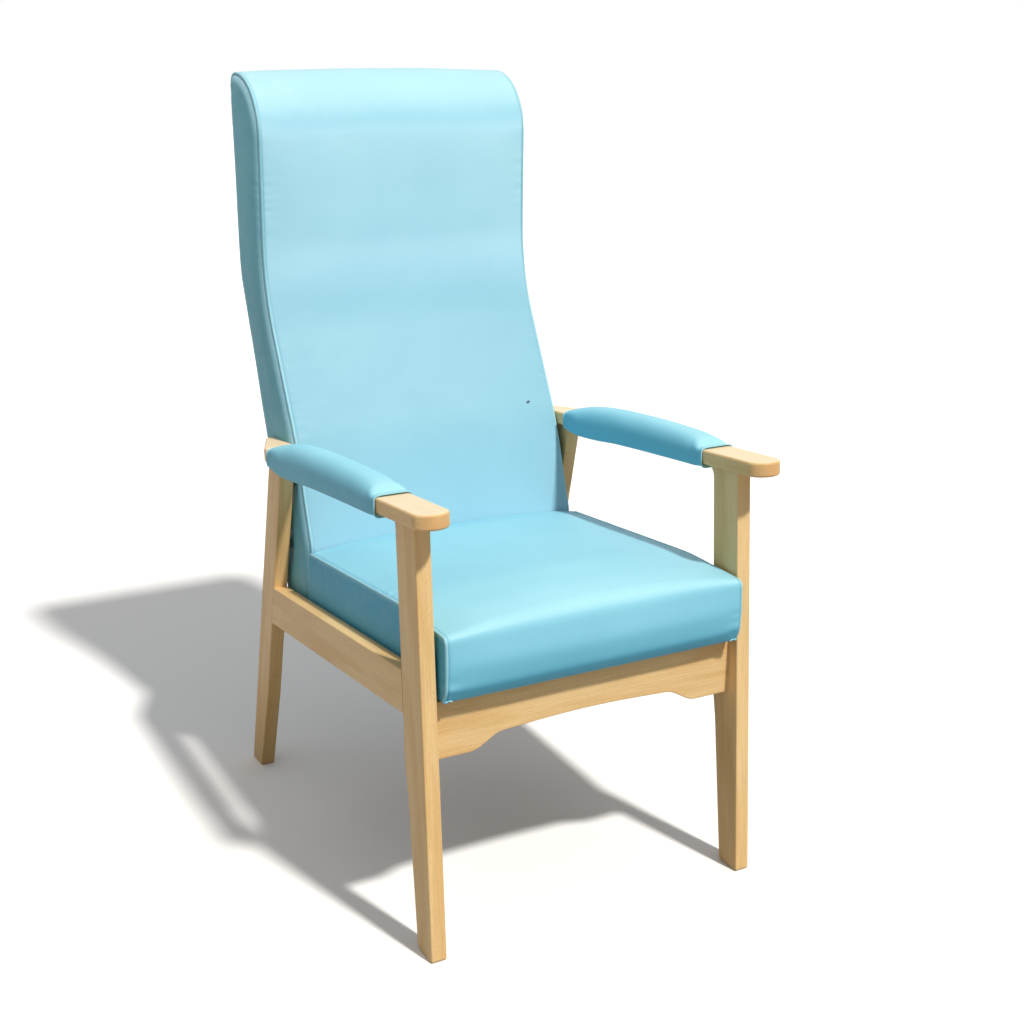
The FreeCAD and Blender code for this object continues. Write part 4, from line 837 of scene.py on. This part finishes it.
def small_flap(name, middle, out, tilt, colour, size, rise, bend, drop=0.0):
    """A small almond-shaped pad lying on a face, closed and slightly domed; size is half of each."""
    rings = 5
    around = 20
    half_long, half_wide = size
    across = Vector((math.cos(tilt), 0, math.sin(tilt)))
    across = (across - out * across.dot(out)).normalized()
    upward = across.cross(out) * -1
    if upward.z < 0:
        upward.negate()
    vertices, faces = [], []
    for height in (rise, FLAP_ROOT):
        for ring in range(1, rings + 1):
            share = ring / rings
            for k in range(around):
                turn = 2 * math.pi * k / around
                along = half_long * share * math.cos(turn)
                over = half_wide * share * math.sin(turn) * abs(math.sin(turn)) ** 0.3
                over += bend * (1 - (along / half_long) ** 2) + drop
                domed = out * height * (1.02 - share ** 2)
                vertices.append(middle + across * along + upward * over + domed)
        vertices.append(middle + upward * (bend + drop) + out * height)
    layer = rings * around + 1
    for base in (0, layer):
        faces += tube_faces(rings, around, start=base)
        faces += [(base + k, base + (k + 1) % around, base + layer - 1) for k in range(around)]
    rim = (rings - 1) * around
    for k in range(around):
        following = (k + 1) % around
        faces.append((rim + k, rim + following, layer + rim + following, layer + rim + k))
    piece = mesh_piece(name, in_frame([tuple(v) for v in vertices]), faces)
    piece.data.materials.append(colour)
    smooth_shaded(piece)
    dressed(piece, "vinyl")


# Painted shade: the near-black colour stands for the shade inside the cut.
painted_nick_shade, tree, shader = new_material("painted_nick_shade")
cells = noise(tree, object_coordinates(tree), 900.0, 2.0, 0.6)
dark = colour_ramp(tree, cells, [(0.3, (0.02, 0.05, 0.06, 1)), (0.7, (0.05, 0.10, 0.12, 1))])
surface(tree, shader, dark, 0.9)
nick_middle, nick_out = front_of_back(NICK_ACROSS, NICK_LEVEL)
nick = (nick_middle, nick_out, NICK_TILT)
small_flap("back_nick", *nick, painted_nick_shade, size=(4.4, 1.7), rise=1.1, bend=0.9)
small_flap("back_nick_lip", *nick, back_vinyl, size=(3.2, 0.9), rise=1.5, bend=0.4, drop=-2.2)

# Vinyl tails at the seat's front corners
# Where the front panel, the side panel and the cord are cut off and turned under at the foot of each
# front seam, their ends stick out by a few millimetres as two small tails of vinyl.
TAIL_OUT = Vector((0, -0.93, -0.37)).normalized()
TAIL_DEPTH = 19.5
for side, sign in (("left", -1), ("right", 1)):
    inner_tail = (Vector((sign * 228.5, TAIL_DEPTH, 377.7)), TAIL_OUT, sign * 0.38, piping_vinyl)
    outer_tail = (Vector((sign * 234.5, TAIL_DEPTH, 377.5)), TAIL_OUT, sign * -0.2, seat_vinyl)
    small_flap("seat_tail_inner_" + side, *inner_tail, size=(4.6, 1.5), rise=1.3, bend=0.8)
    small_flap("seat_tail_outer_" + side, *outer_tail, size=(3.0, 2.3), rise=1.6, bend=0.3)

# Outside back and its board
# A flat vinyl panel is stretched over a hardboard sheet, with its edges folded in over the sheet's
# edges, and closes the back from the tuck under the head roll down to the foot.
OUTSIDE_HALF = 231.7
OUTSIDE_THICKNESS = 1.2
OUTSIDE_FOLD = 5.2
FOLD_COLUMN = 0.9945
OUTSIDE_SPACING = 7.0
OUTSIDE_COLUMNS = 33
OUTSIDE_CROWDING = 1.3
OUTSIDE_BULGE = 0.9


def sheet_faces(rows, columns):
    """Faces of a closed sheet: both sides of a grid of points, joined along the border."""
    count = rows * columns
    faces = []
    for i in range(rows - 1):
        for j in range(columns - 1):
            a = i * columns + j
            faces.append((a, a + 1, a + columns + 1, a + columns))
            faces.append((count + a, count + a + columns, count + a + columns + 1, count + a + 1))
    border = list(range(columns))
    border += [i * columns + columns - 1 for i in range(1, rows)]
    border += [(rows - 1) * columns + j for j in range(columns - 2, -1, -1)]
    border += [i * columns for i in range(rows - 2, 0, -1)]
    for first, second in zip(border, border[1:] + border[:1]):
        faces.append((first, count + first, count + second, second))
    return faces


def outside_panel():
    """The panel's two sides, from the tuck down to the foot; its edges turn in round the board."""
    corners = [(805.0, TUCK_LEVEL - 0.6, 0), (788, 829, 150), (667, 520, 200), (619, 339.8, 0)]
    run = rounded_line(corners, OUTSIDE_SPACING)
    downward = np.gradient(run, axis=0)
    outward = np.c_[-downward[:, 1], downward[:, 0]]
    outward /= np.linalg.norm(outward, axis=1, keepdims=True)
    columns = crowded_ends(OUTSIDE_COLUMNS, OUTSIDE_CROWDING)
    columns = np.sort(np.append(columns, (-FOLD_COLUMN, FOLD_COLUMN)))
    down = np.linspace(-1, 1, len(run))
    outer, inner = [], []
    for place, direction, level in zip(run, outward, down):
        for column in columns:
            rim = min(1.0, 9 * (1 - abs(column))) * min(1.0, 22 * (1 - abs(level)))
            lift = OUTSIDE_BULGE * (1 - column ** 2) * (1 - level ** 6) - OUTSIDE_BULGE * (1 - rim) ** 2
            spot = place + direction * lift
            depth = OUTSIDE_THICKNESS + (OUTSIDE_FOLD if abs(column) > FOLD_COLUMN else 0)
            outer.append((column * OUTSIDE_HALF, *spot))
            inner.append((column * OUTSIDE_HALF, *(place - direction * depth)))
    return mesh_piece("outside_back", in_frame(outer + inner), sheet_faces(len(run), len(columns)))


outside = outside_panel()
finer(outside)
outside.data.materials.append(seat_vinyl)
dressed(outside, "vinyl", "outside_back_cover")

# Arm pads
# Foam laid on the arm board and wrapped all round in a vinyl sleeve, which is hemmed at both ends and
# closed under the arm. The front hem hugs the board before the foam lifts the cover.
# Painted light and shade for the arm pads, paler than the seat's, also as painted light thrown up from
# the seat.
PAD_PAINTED_LIGHT_TONES = [
    (0.05, (0.14, 0.48, 0.63, 1.0)),
    (0.45, (0.23, 0.60, 0.75, 1.0)),
    (0.80, (0.30, 0.66, 0.79, 1.0)),
    (0.97, (0.36, 0.69, 0.79, 1.0)),
]
ARM_UNDER = 631.0
ARM_THICKNESS = 22.0
ARM_SLOPE = math.atan(-FRAME_PITCH)
ARM_CENTRE = 261.0
ARM_HALF = 26.0
PAD_FROM, PAD_TO = 121.6, 535.6
HEM_RADIUS = 1.2
# Each station: distance from the front hem, crown, room at the side, room below
PAD_STATIONS = np.array([
    (0, 2.6, 2.0, 5.0),
    (4, 3.0, 2.2, 5.2),
    (10, 2.8, 2.0, 5.0),
    (17, 6.5, 2.4, 5.4),
    (30, 13.0, 3.0, 6.0),
    (55, 17.0, 3.0, 6.0),
    (100, 19.5, 3.0, 6.2),
    (175, 21.5, 3.0, 6.8),
    (250, 21.5, 3.0, 8.0),
    (320, 18.8, 3.0, 11.4),
    (364, 14.2, 3.0, 12.0),
    (392, 9.4, 2.8, 9.8),
    (405, 6.0, 2.6, 7.0),
    (411, 3.0, 2.3, 5.0),
    (414, 2.2, 2.0, 4.4),
])


def smooth_between(xs, ys, wanted):
    """A smooth line through the stations that never overshoots them."""
    slopes = np.gradient(ys, xs)
    steps = np.diff(ys) / np.diff(xs)
    for k in range(1, len(xs) - 1):
        if steps[k - 1] * steps[k] <= 0:
            slopes[k] = 0
        else:
            slopes[k] = 2 * steps[k - 1] * steps[k] / (steps[k - 1] + steps[k])
    index = np.clip(np.searchsorted(xs, wanted) - 1, 0, len(xs) - 2)
    width = xs[index + 1] - xs[index]
    t = (wanted - xs[index]) / width
    first, second = ys[index], ys[index + 1]
    a, b = slopes[index] * width, slopes[index + 1] * width
    return (
        first * (2 * t ** 3 - 3 * t ** 2 + 1)
        + a * (t ** 3 - 2 * t ** 2 + t)
        + second * (-2 * t ** 3 + 3 * t ** 2)
        + b * (t ** 3 - t ** 2)
    )


def sleeve_section(crown, side, below, count):
    """The sleeve across the arm: flat under, turned up at the corners and rounded over the top."""
    half = ARM_HALF + side
    high = ARM_THICKNESS + crown
    foot = -below
    corner = 7.0
    waist = min(foot + corner + 3, 6.0)
    squareness = 2.8 + 4.2 * (1 - min(1.0, crown / 14))
    power = 2 / squareness
    line = [(0, foot), (half - corner, foot)]
    for turn in np.linspace(0.2, math.pi / 2, 6):
        line.append((half - corner + corner * math.sin(turn), foot + corner - corner * math.cos(turn)))
    for turn in np.linspace(0.0, math.pi / 2, 40):
        line.append((half * math.cos(turn) ** power, waist + (high - waist) * math.sin(turn) ** power))
    right = resampled(np.array(line), count // 2 + 1)
    left = right[1:-1][::-1] * (-1, 1)
    return np.r_[right, left]


def ring_at(section, place):
    return np.c_[section[:, 0], np.full(len(section), PAD_FROM + place), section[:, 1]]


def along_arm(vertices, sign):
    """Places in the frame, from points measured along the underside of the sloping arm board."""
    x = sign * ARM_CENTRE + vertices[:, 0]
    y = vertices[:, 1] * math.cos(ARM_SLOPE) + vertices[:, 2] * math.sin(ARM_SLOPE)
    z = -vertices[:, 1] * math.sin(ARM_SLOPE) + vertices[:, 2] * math.cos(ARM_SLOPE) + ARM_UNDER
    return in_frame(np.c_[x, y, z])


def arm_pad(side, sign):
    """The sleeve as a closed shell: its outer face from hem to hem, and back along the arm board."""
    ring = 60
    ends = np.arange(0, 24, 1.5), np.arange(396, 413, 1.5)
    stations = np.unique(np.r_[ends[0], np.arange(24, 396, 5.5), ends[1], 414.0])
    known = PAD_STATIONS.T
    crown, room, below = (smooth_between(known[0], row, stations) for row in known[1:])
    rows = []
    inner = []
    for place, high, wide, low in zip(stations, crown, room, below):
        rows.append(ring_at(sleeve_section(high, wide, low, ring), place))
    for place, gap in ((412, 1.3), (405, 0.9), (380, 0.4), (200, 0.4), (30, 0.4), (9, 0.9), (1.5, 1.5)):
        section = sleeve_section(2 * gap, gap, gap, ring)
        section[:, 1] = np.clip(section[:, 1], -gap, ARM_THICKNESS + gap)
        inner.append(ring_at(section, place))
    vertices = np.concatenate(rows + inner)
    faces = tube_faces(len(rows) + len(inner), ring, closed=True)
    piece = mesh_piece("arm_pad_" + side, along_arm(vertices, sign), faces)
    held = np.ones(len(vertices))
    outer = len(rows) * ring
    from_hem = np.minimum(vertices[:outer, 1] - PAD_FROM, PAD_TO - vertices[:outer, 1])
    held[:outer] = np.clip(1.2 - from_hem / 22, 0, 1)
    held[:outer][vertices[:outer, 2] < -0.5] = 1.0
    stuffed(piece, held, pressure=3.0, stiffness=20.0, most=4.0, smoothing=6)
    finer(piece)
    piece.data.materials.append(pad_vinyl)
    dressed(piece, "vinyl", "arm_pad_cover_" + side, "arm_pad_foam_" + side)


def sleeve_hem(side, sign, end, place, crown, room, below):
    """The rolled hem at a sleeve's end: a thin closed cord round the arm."""
    around = 10
    section = sleeve_section(crown, room, below, 96)
    tangent = np.roll(section, -1, axis=0) - np.roll(section, 1, axis=0)
    tangent /= np.linalg.norm(tangent, axis=1)[:, None]
    outward = np.c_[tangent[:, 1], -tangent[:, 0]]
    rows = []
    for turn in np.linspace(0, 2 * math.pi, around, endpoint=False):
        wider = section + outward * HEM_RADIUS * math.cos(turn)
        rows.append(ring_at(wider, place + HEM_RADIUS * math.sin(turn)))
    faces = tube_faces(around, len(section), closed=True)
    piece = mesh_piece("arm_hem_" + end + "_" + side, along_arm(np.concatenate(rows), sign), faces)
    piece.data.materials.append(piping_vinyl)
    smooth_shaded(piece)
    dressed(piece, "vinyl")


pad_vinyl = vinyl("pad_vinyl", PAD_PAINTED_LIGHT_TONES)
for side, sign in (("left", -1), ("right", 1)):
    arm_pad(side, sign)
    sleeve_hem(side, sign, "front", place=1.0, crown=2.8, room=2.2, below=5.2)
    sleeve_hem(side, sign, "rear", place=413.0, crown=2.4, room=2.1, below=4.6)

# Frame inside the upholstery
# Plain unfinished hardwood: sawn stiles and rails in the back, four battens in the seat, and glued
# corner blocks behind the front rail. Dowels are smooth, and show only at an open joint.
WOOD_PALE = (0.63, 0.46, 0.28, 1.0)
WOOD_DARK = (0.47, 0.31, 0.17, 1.0)


def sawn_wood(name, grain, shift):
    """Bare sawn timber: long figure, darker late wood and a rough face."""
    material, tree, shader = new_material(name)
    turn = grain.rotation_difference(Vector((1, 0, 0))).to_euler()
    figure = noise(tree, object_coordinates(tree, turn, (1.5, 22, 22), shift), 3.0, 4.0, 0.6, 0.8)
    colour = colour_ramp(tree, figure, [(0.3, WOOD_DARK), (0.65, WOOD_PALE)], "EASE")
    saw_marks = noise(tree, object_coordinates(tree, turn, (160, 6, 6), shift), 1.0, 2.0, 0.5)
    rubbed = colour_ramp(tree, saw_marks, [(0.3, (0.88, 0.87, 0.86, 1)), (0.7, grey(1))])
    rough = colour_ramp(tree, saw_marks, [(0.2, grey(0.62)), (0.8, grey(0.8))])
    surface(tree, shader, mix_colours(tree, 0.8, colour, rubbed, "MULTIPLY"), rough)
    bumped(tree, shader, (saw_marks, 0.3, 0.0005))
    return material


ACROSS, UPWARD, SEAT_RUN = (1, 0, 0), (0, 0.2, 1), (0, 1, FRAME_PITCH)
for count, (stem, grain) in enumerate((
    ("back_stile_left", UPWARD),
    ("back_stile_right", UPWARD),
    ("back_foot_rail", ACROSS),
    ("back_middle_rail", ACROSS),
    ("back_top_rail", ACROSS),
    ("seat_frame_front", ACROSS),
    ("seat_frame_rear", ACROSS),
    ("seat_frame_left", SEAT_RUN),
    ("seat_frame_right", SEAT_RUN),
    ("corner_block_left", (1, 1, 0)),
    ("corner_block_right", (1, -1, 0)),
    ("rail_dowels", ACROSS),
    ("side_frame_dowels_left", (0, 1, 0)),
    ("side_frame_dowels_right", (0, 1, 0)),
)):
    shift = (0.31 * count, 0.17 * count, 0.23 * count)
    dress(stem, sawn_wood("wood_" + stem, Vector(grain).normalized(), shift))

# Fixings
# Zinc-plated bolts, washers, inserts, screws and staples, with the faint milky patches of thin plating,
# two dark pins in each rear leg, and nylon spacers holding the back clear of the rear legs, in painted
# shade.


def plated(name, colour, shade, rough):
    """Plated steel whose patches differ in tone and gloss."""
    material, tree, shader = new_material(name)
    patches = noise(tree, object_coordinates(tree), 260.0, 3.0, 0.6)
    plating = colour_ramp(tree, patches, [(0.3, shade), (0.7, colour)])
    dullness = colour_ramp(tree, patches, [(0.3, grey(rough * 1.35)), (0.7, grey(rough * 0.8))])
    surface(tree, shader, plating, dullness)
    shader.inputs["Metallic"].default_value = 1.0
    bumped(tree, shader, (patches, 0.1, 0.0002))
    return material


zinc = plated("zinc_steel", (0.72, 0.73, 0.74, 1), (0.58, 0.60, 0.62, 1), 0.34)
for fixing in (
    "back_bolts",
    "back_bolt_washers",
    "back_bolt_inserts",
    "corner_block_screws",
    "seat_fixing_screws",
    "dust_cover_staples",
):
    dress(fixing, zinc)
dress("leg_pins", plated("pin_steel", (0.20, 0.18, 0.16, 1), (0.12, 0.10, 0.09, 1), 0.5))

# Painted shade: the spacers take the shaded blue-grey of the back's vinyl beside them.
nylon, tree, shader = new_material("nylon_in_painted_shade")
haze = noise(tree, object_coordinates(tree), 320.0, 2.0, 0.5)
dark = colour_ramp(tree, haze, [(0.3, (0.13, 0.22, 0.25, 1)), (0.7, (0.16, 0.26, 0.29, 1))])
gloss = colour_ramp(tree, haze, [(0.3, grey(0.38)), (0.7, grey(0.5))])
surface(tree, shader, dark, gloss)
dress("back_spacers", nylon)

# Webbing, board and dust cover
# Elastic webbing of jute-brown threads with darker ones between them carries the foam; a brown
# hardboard sheet stiffens the back; a black spun cloth is stapled under the seat and sags a little.


def woven(name, thread, stripe):
    """Flat webbing: ribs along the strap and across it, darker between the threads."""
    material, tree, shader = new_material(name)
    source = object_coordinates(tree)
    ribs = []
    for direction, scale in (("X", 310.0), ("Y", 250.0)):
        wave = add_node(tree, "ShaderNodeTexWave", bands_direction=direction)
        set_values(wave, Scale=scale, Distortion=0.6)
        tree.links.new(source, wave.inputs["Vector"])
        ribs.append(wave.outputs["Fac"])
    crossing = arithmetic(tree, "MULTIPLY", *ribs)
    colour = colour_ramp(tree, crossing, [(0.1, stripe), (0.6, thread)])
    uneven = noise(tree, source, 40.0, 2.0, 0.5)
    tint = colour_ramp(tree, uneven, [(0.3, (0.85, 0.84, 0.82, 1)), (0.7, grey(1))])
    surface(tree, shader, mix_colours(tree, 1.0, colour, tint, "MULTIPLY"), 0.85)
    bumped(tree, shader, (crossing, 0.5, 0.0005))
    return material


dress("seat_webbing", woven("seat_webbing", (0.33, 0.25, 0.15, 1), (0.14, 0.10, 0.06, 1)))
dress("back_webbing", woven("back_webbing", (0.35, 0.27, 0.16, 1), (0.15, 0.11, 0.06, 1)))

hardboard, tree, shader = new_material("hardboard")
fibre = noise(tree, object_coordinates(tree, (0, 0, 0), (1, 3, 1)), 240.0, 4.0, 0.7)
brown = colour_ramp(tree, fibre, [(0.3, (0.16, 0.085, 0.04, 1)), (0.7, (0.29, 0.17, 0.09, 1))])
matt = colour_ramp(tree, fibre, [(0.3, grey(0.6)), (0.7, grey(0.8))])
surface(tree, shader, brown, matt)
dress("back_board", hardboard)

spun, tree, shader = new_material("spun_dust_cloth")
place = object_coordinates(tree)
dimples = add_node(tree, "ShaderNodeTexVoronoi", Scale=420.0, Randomness=0.15)
tree.links.new(place, dimples.inputs["Vector"])
fuzz = noise(tree, place, 700.0, 3.0, 0.7)
black = colour_ramp(tree, fuzz, [(0.3, (0.012, 0.012, 0.013, 1)), (0.7, (0.045, 0.045, 0.048, 1))])
pressed = colour_ramp(tree, dimples.outputs["Distance"], [(0.1, grey(0.55)), (0.35, grey(1))])
surface(tree, shader, mix_colours(tree, 1.0, black, pressed, "MULTIPLY"), 0.9)
bumped(tree, shader, (dimples.outputs["Distance"], 0.4, 0.0004))

DUST_HALF, DUST_FRONT, DUST_REAR = 227.0, 32.1, 487.4
DUST_THICKNESS = 0.7
DUST_LINES = 49
BATTEN_FOOT = 377.0
spans = np.linspace(-1, 1, DUST_LINES)
low_side, high_side = [], []
for v in spans:
    for u in spans:
        y = DUST_FRONT + (v + 1) / 2 * (DUST_REAR - DUST_FRONT)
        under = BATTEN_FOOT + FRAME_PITCH * y
        rim = (1 - u ** 4) * (1 - v ** 4)
        tucks = 0.35 * math.sin(38 * u + 2 * v) * math.exp(-9 * (1 - abs(v))) * (1 - u ** 6)
        tucks += 0.35 * math.sin(38 * v + 2 * u) * math.exp(-9 * (1 - abs(u))) * (1 - v ** 6)
        drop = -1.0 - 1.4 * rim * max(0.0, 0.8 - v) / 1.8 + tucks * 0.5
        high_side.append((u * DUST_HALF, y, under + drop + DUST_THICKNESS))
        low_side.append((u * DUST_HALF, y, under + drop))
dust_faces = sheet_faces(DUST_LINES, DUST_LINES)
dust = mesh_piece("dust_cover", in_frame(low_side + high_side), dust_faces)
dust.data.materials.append(spun)
dressed(dust, "dust_cloth", "seat_dust_cover")

# Camera, floor and light
# A long lens from the front and the left at a little above arm height, over a plain pale floor, with
# one soft lamp from the right and front and an even white surround.
FOCAL_PIXELS = 1641.6
PICTURE = 1024.0
PRINCIPAL = (603.98, 470.68)
SENSOR_WIDTH = 36
CAMERA_PLACE = (-1.10454, -2.18663, 1.30186)
CAMERA_AZIMUTH, CAMERA_HEIGHT, CAMERA_ROLL = -31.4296, 16.6404, 1.45017

azimuth, height, roll = (math.radians(a) for a in (CAMERA_AZIMUTH, CAMERA_HEIGHT, CAMERA_ROLL))
level_share = math.cos(height)
forward = Vector((-math.sin(azimuth) * level_share, math.cos(azimuth) * level_share, -math.sin(height)))
level_right = Vector((math.cos(azimuth), math.sin(azimuth), 0))
level_up = level_right.cross(forward)
right = math.cos(roll) * level_right + math.sin(roll) * level_up
up = -math.sin(roll) * level_right + math.cos(roll) * level_up
camera_data = bpy.data.cameras.new("camera")
camera_data.sensor_width = SENSOR_WIDTH
camera_data.lens = FOCAL_PIXELS / PICTURE * SENSOR_WIDTH
camera_data.shift_x = 0.5 - PRINCIPAL[0] / PICTURE
camera_data.shift_y = PRINCIPAL[1] / PICTURE - 0.5
camera = new_object("camera", camera_data)
camera_axes = Matrix((right, up, -forward)).transposed().to_4x4()
camera.matrix_world = Matrix.Translation(CAMERA_PLACE) @ camera_axes
bpy.context.scene.camera = camera

LAMP_DIRECTION = (0.27, -1.0, 1.42)
LAMP_STRENGTH = 3.35
LAMP_SPREAD = 4.0
LAMP_COLOUR = (1.0, 0.965, 0.91)
lamp_data = bpy.data.lights.new("lamp", "SUN")
lamp_data.energy = LAMP_STRENGTH
lamp_data.angle = math.radians(LAMP_SPREAD)
lamp_data.color = LAMP_COLOUR
lamp = new_object("lamp", lamp_data)
lamp.rotation_mode = "QUATERNION"
lamp.rotation_quaternion = Vector(LAMP_DIRECTION).to_track_quat("Z", "Y")

LEVEL_LIGHT, OVERHEAD_LIGHT = 0.22, 0.36
SURROUND_COLOUR = (0.97, 0.965, 0.96, 1)


def seen_directly(tree):
    """One for rays from the camera, from a reflection or through glass, and zero for all others."""
    paths = tree.nodes.new("ShaderNodeLightPath")
    seen = arithmetic(tree, "MAXIMUM", paths.outputs["Is Camera Ray"], paths.outputs["Is Glossy Ray"])
    return arithmetic(tree, "MAXIMUM", seen, paths.outputs["Is Transmission Ray"])


world = bpy.data.worlds.new("surround")
world.use_nodes = True
tree = world.node_tree
background = tree.nodes["Background"]
height = tree.nodes.new("ShaderNodeSeparateXYZ")
tree.links.new(tree.nodes.new("ShaderNodeTexCoord").outputs["Generated"], height.inputs[0])
overhead = arithmetic(tree, "MULTIPLY", height.outputs["Z"], OVERHEAD_LIGHT, clamp=True)
tree.links.new(arithmetic(tree, "ADD", overhead, LEVEL_LIGHT), background.inputs["Strength"])
background.inputs["Color"].default_value = SURROUND_COLOUR
white = add_node(tree, "ShaderNodeBackground", Color=grey(1), Strength=1.0)
choice = tree.nodes.new("ShaderNodeMixShader")
tree.links.new(seen_directly(tree), choice.inputs[0])
tree.links.new(background.outputs[0], choice.inputs[1])
tree.links.new(white.outputs[0], choice.inputs[2])
tree.links.new(choice.outputs[0], tree.nodes["World Output"].inputs["Surface"])
bpy.context.scene.world = world

FLOOR_HALF = 12.0
FLOOR_SEEN = grey(0.95)
FLOOR_BOUNCE = grey(0.33)
floor_corners = [(FLOOR_HALF * x, FLOOR_HALF * y, 0) for x, y in ((-1, -1), (1, -1), (1, 1), (-1, 1))]
floor_mesh = bpy.data.meshes.new("floor")
floor_mesh.from_pydata(floor_corners, [], [(0, 1, 2, 3)])
floor = new_object("floor", floor_mesh)
floor_material, tree, shader = new_material("pale_floor")
surface(tree, shader, mix_colours(tree, seen_directly(tree), FLOOR_BOUNCE, FLOOR_SEEN), 0.9)
floor_mesh.materials.append(floor_material)
bpy.context.scene.view_settings.view_transform = "Standard"
